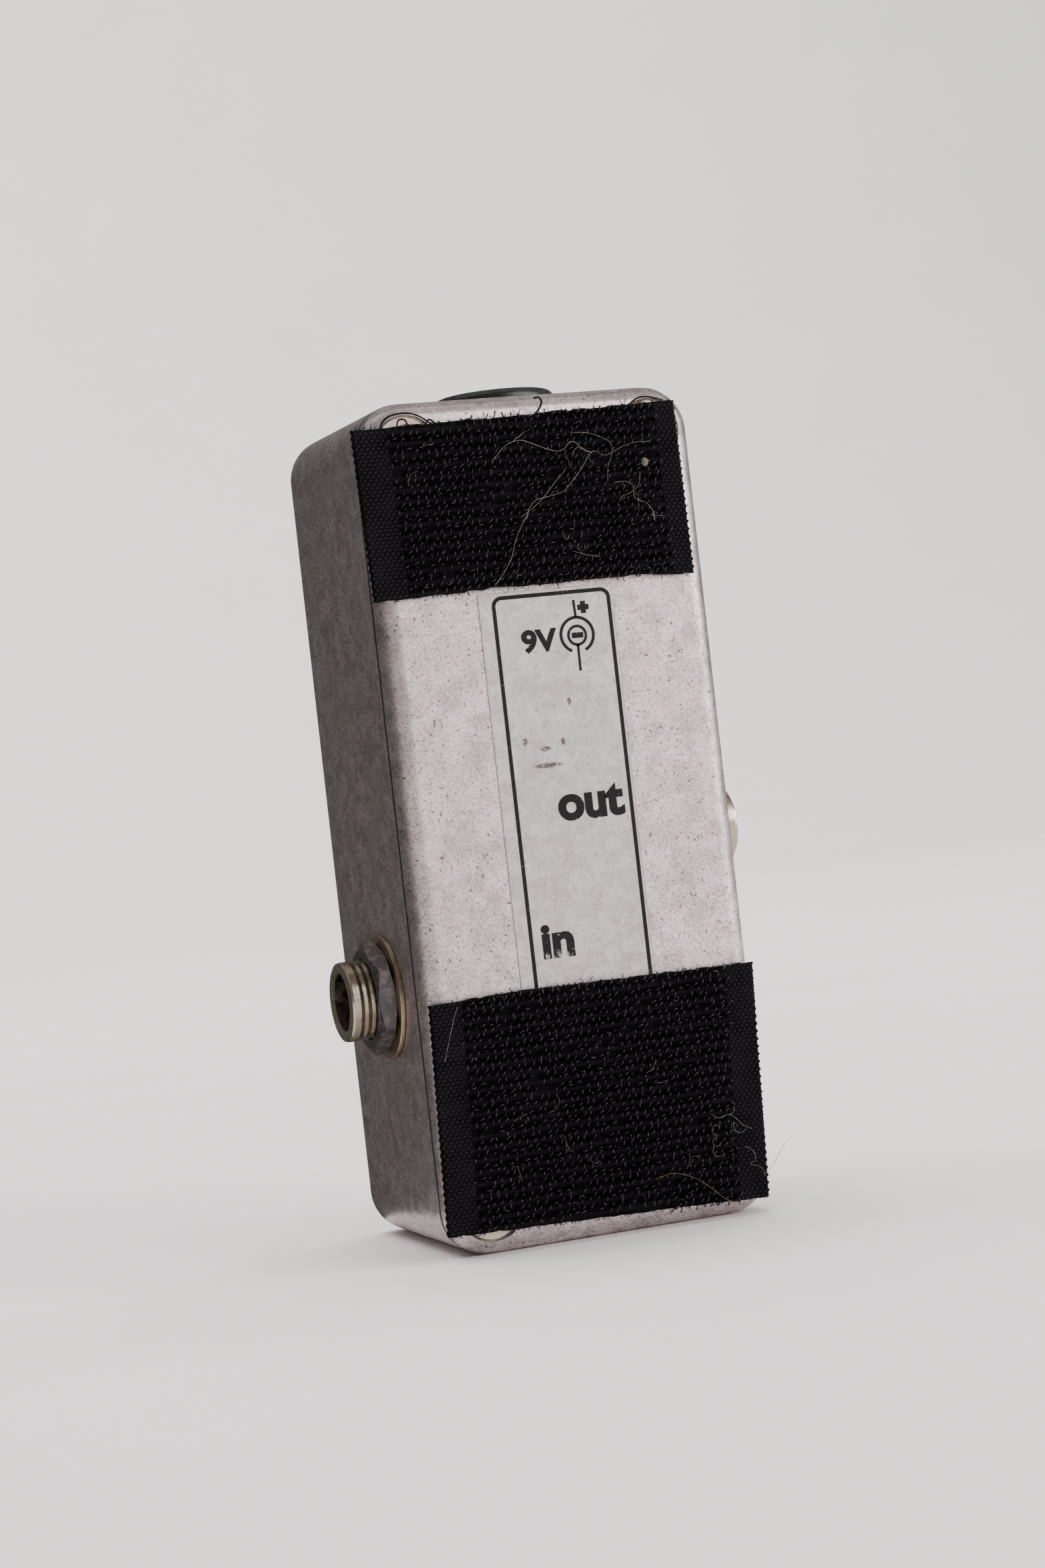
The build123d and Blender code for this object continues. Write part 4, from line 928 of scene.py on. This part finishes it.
def seed_husk(rings=14, around=20):
    """Ridged husk caught in the upper tape."""
    rng = np.random.default_rng(17)
    vertices, faces = [], []
    for i in range(rings + 1):
        tilt = math.pi * i / rings
        for k in range(around):
            turn = 2 * math.pi * k / around
            ridge = 1 + 0.10 * math.sin(5 * turn + 2 * tilt) + 0.05 * float(rng.uniform(-1, 1))
            radial = math.sin(tilt) * ridge
            vertices.append((
                HUSK_X + HUSK_HALF_X * radial * math.cos(turn),
                HUSK_Y + HUSK_HALF_Y * radial * math.sin(turn),
                HUSK_Z + HUSK_HALF_Z * math.cos(tilt),
            ))
    for i in range(rings):
        for k in range(around):
            a, b = i * around + k, i * around + (k + 1) % around
            faces.append((a, b, b + around, a + around))
    faces.append(tuple(range(around)))
    faces.append(tuple(reversed(range(rings * around, (rings + 1) * around))))
    weld(make_mesh("tape_husk", vertices, faces, husk_material).data)


seed_husk()


# ===== Camera =====
camera_data = bpy.data.cameras.new("camera")
camera_data.sensor_fit = "AUTO"
camera_data.sensor_width = 36.0
camera_data.lens = 70.415
camera_data.clip_start, camera_data.clip_end = 0.01, 20.0
camera = add_object("camera", camera_data)
camera.matrix_world = Matrix((
    (0.936515, 0.106399, -0.334095, -0.1166726),
    (-0.332187, -0.035713, -0.942537, -0.3297097),
    (-0.112216, 0.993682, 0.001899, 0.0507888),
    (0, 0, 0, 1),
))
bpy.context.scene.camera = camera


# ===== Floor, backdrop and light =====
def hide_from(thing, *rays):
    for ray in rays:
        setattr(thing, "visible_" + ray, False)


def stage_mesh(name, vertices, faces, material):
    mesh = bpy.data.meshes.new(name)
    mesh.from_pydata(vertices, [], faces)
    mesh.shade_smooth()
    mesh.materials.append(material)
    thing = add_object(name, mesh)
    return thing


def pale_floor():
    s = Shader("pale_floor", roughness=0.85, specular=0.15)
    s.colour(s.mix((0.79, 0.735, 0.742), (0.83, 0.78, 0.786), s.noise(0.02, 4)))
    s.bump(s.noise(0.9, 4, 0.6), 0.12, 0.25)
    return s.mat


def reflected_shade_material(name, dark, light):
    s = Shader(name, roughness=0.9, specular=0.1)
    s.colour(s.mix(dark, light, s.noise(0.01, 2)))
    return s.mat


floor_material = pale_floor()
# Dark and grey sheets that only reflections see: painted shade in the metal's reflections.
reflected_shade_dark = reflected_shade_material("flag", (0.058, 0.058, 0.056), (0.078, 0.078, 0.075))
reflected_shade_grey = reflected_shade_material("grey_flag", (0.14, 0.132, 0.13), (0.18, 0.172, 0.17))
SWEEP_TOP = 3.0
PANEL_FOOT, PANEL_TOP, CEILING = 0.001, 0.55, 0.62


def sweep(name, lead_in, start, floor, radius, way, half_width):
    """Floor that curves up into a wall, which rises towards +Y or -Y as way is 1 or -1."""
    profile = lead_in + [(start, floor)]
    for t in np.linspace(0.1, math.pi / 2, 14):
        profile.append((start + way * radius * math.sin(t), floor + radius - radius * math.cos(t)))
    profile.append((start + way * radius, SWEEP_TOP))
    vertices = [(x, y, z) for y, z in profile for x in (-half_width, half_width)]
    faces = [(2 * i, 2 * i + 1, 2 * i + 3, 2 * i + 2) for i in range(len(profile) - 1)]
    if way < 0:
        faces = [(b, a, d, c) for a, b, c, d in faces]
    return stage_mesh(name, vertices, faces, floor_material)


sweep("floor", [(-12.0, 0.0)], 0.9, 0.0, 0.6, 1, 9.0)
# A second one behind the front camera, so that views from the back end in it too. Only cameras see it.
front_sweep = sweep("front_sweep", [], -0.6, 0.0004, 0.5, -1, 4.0)
hide_from(front_sweep, "diffuse", "glossy", "transmission", "shadow")


def panel(name, vertices, faces, material):
    """Part of the stage that only reflections see: a dark sheet that puts painted shade into the metal's
    reflections, standing in for shaded surroundings.
    """
    hide_from(stage_mesh(name, vertices, faces, material), "camera", "shadow", "diffuse")


def upright_panel(name, path, material, foot=None):
    """Panel along (x, y) points. A foot is a point on the floor that its lower edge is joined to."""
    vertices = [(x, y, z) for x, y in path for z in (PANEL_FOOT, PANEL_TOP)]
    faces = [(2 * i, 2 * i + 2, 2 * i + 3, 2 * i + 1) for i in range(len(path) - 1)]
    if foot:
        vertices.append(foot)
        faces += [(2 * i + 2, 2 * i, 2 * len(path)) for i in range(len(path) - 1)]
    panel(name, vertices, faces, material)


upright_panel(
    "flag_left", [(-0.30, -0.16), (-0.36, 0.02), (-0.30, 0.20), (-0.16, 0.30), (0.02, 0.32), (0.22, 0.30)],
    reflected_shade_dark, (-0.03, 0.0, PANEL_FOOT),
)
upright_panel("flag_right", [(0.22, 0.30), (0.36, 0.22), (0.42, 0.06)], reflected_shade_grey)
corners = [(-0.36, -0.30), (0.42, -0.30), (0.42, 0.34), (-0.36, 0.34)]
panel("flag_top", [(x, y, CEILING) for x, y in corners], [(3, 2, 1, 0)], reflected_shade_grey)


def softbox(name, place, aim, size, watts, colour, glossy=True):
    """Rectangular light, not seen by the camera; glossy says whether reflections see it."""
    data = bpy.data.lights.new(name, "AREA")
    data.shape = "RECTANGLE"
    data.size, data.size_y = size
    data.energy = watts
    data.color = colour
    lamp = add_object(name, data)
    lamp.location = place
    lamp.rotation_euler = (Vector(aim) - Vector(place)).to_track_quat("-Z", "Y").to_euler()
    hide_from(lamp, "camera")
    lamp.visible_glossy = glossy


BOX_MIDDLE = (0, 0, 0.046)
softbox("key", (0.75, -0.95, 0.62), BOX_MIDDLE, (0.8, 0.8), 11.5, (1.0, 0.94, 0.935))
softbox("front", (0.35, -1.1, 0.10), BOX_MIDDLE, (0.6, 0.5), 0.8, (1.0, 0.98, 0.975))
softbox("top", (-0.1, 0.15, 1.5), (0, 0.15, 0), (1.4, 1.4), 26.0, (1.0, 0.98, 0.985), glossy=False)
softbox("side", (1.0, -0.50, 0.30), BOX_MIDDLE, (0.14, 0.6), 4.5, (1.0, 0.985, 0.98))
softbox("backdrop", (0.0, 0.45, 1.7), (0.0, 1.5, 0.3), (2.4, 0.6), 34.0, (1.0, 0.975, 0.975))

world = bpy.data.worlds.new("world")
world.use_nodes = True
background = world.node_tree.nodes["Background"]
background.inputs["Color"].default_value = (0.90, 0.87, 0.87, 1.0)
background.inputs["Strength"].default_value = 0.32
bpy.context.scene.world = world
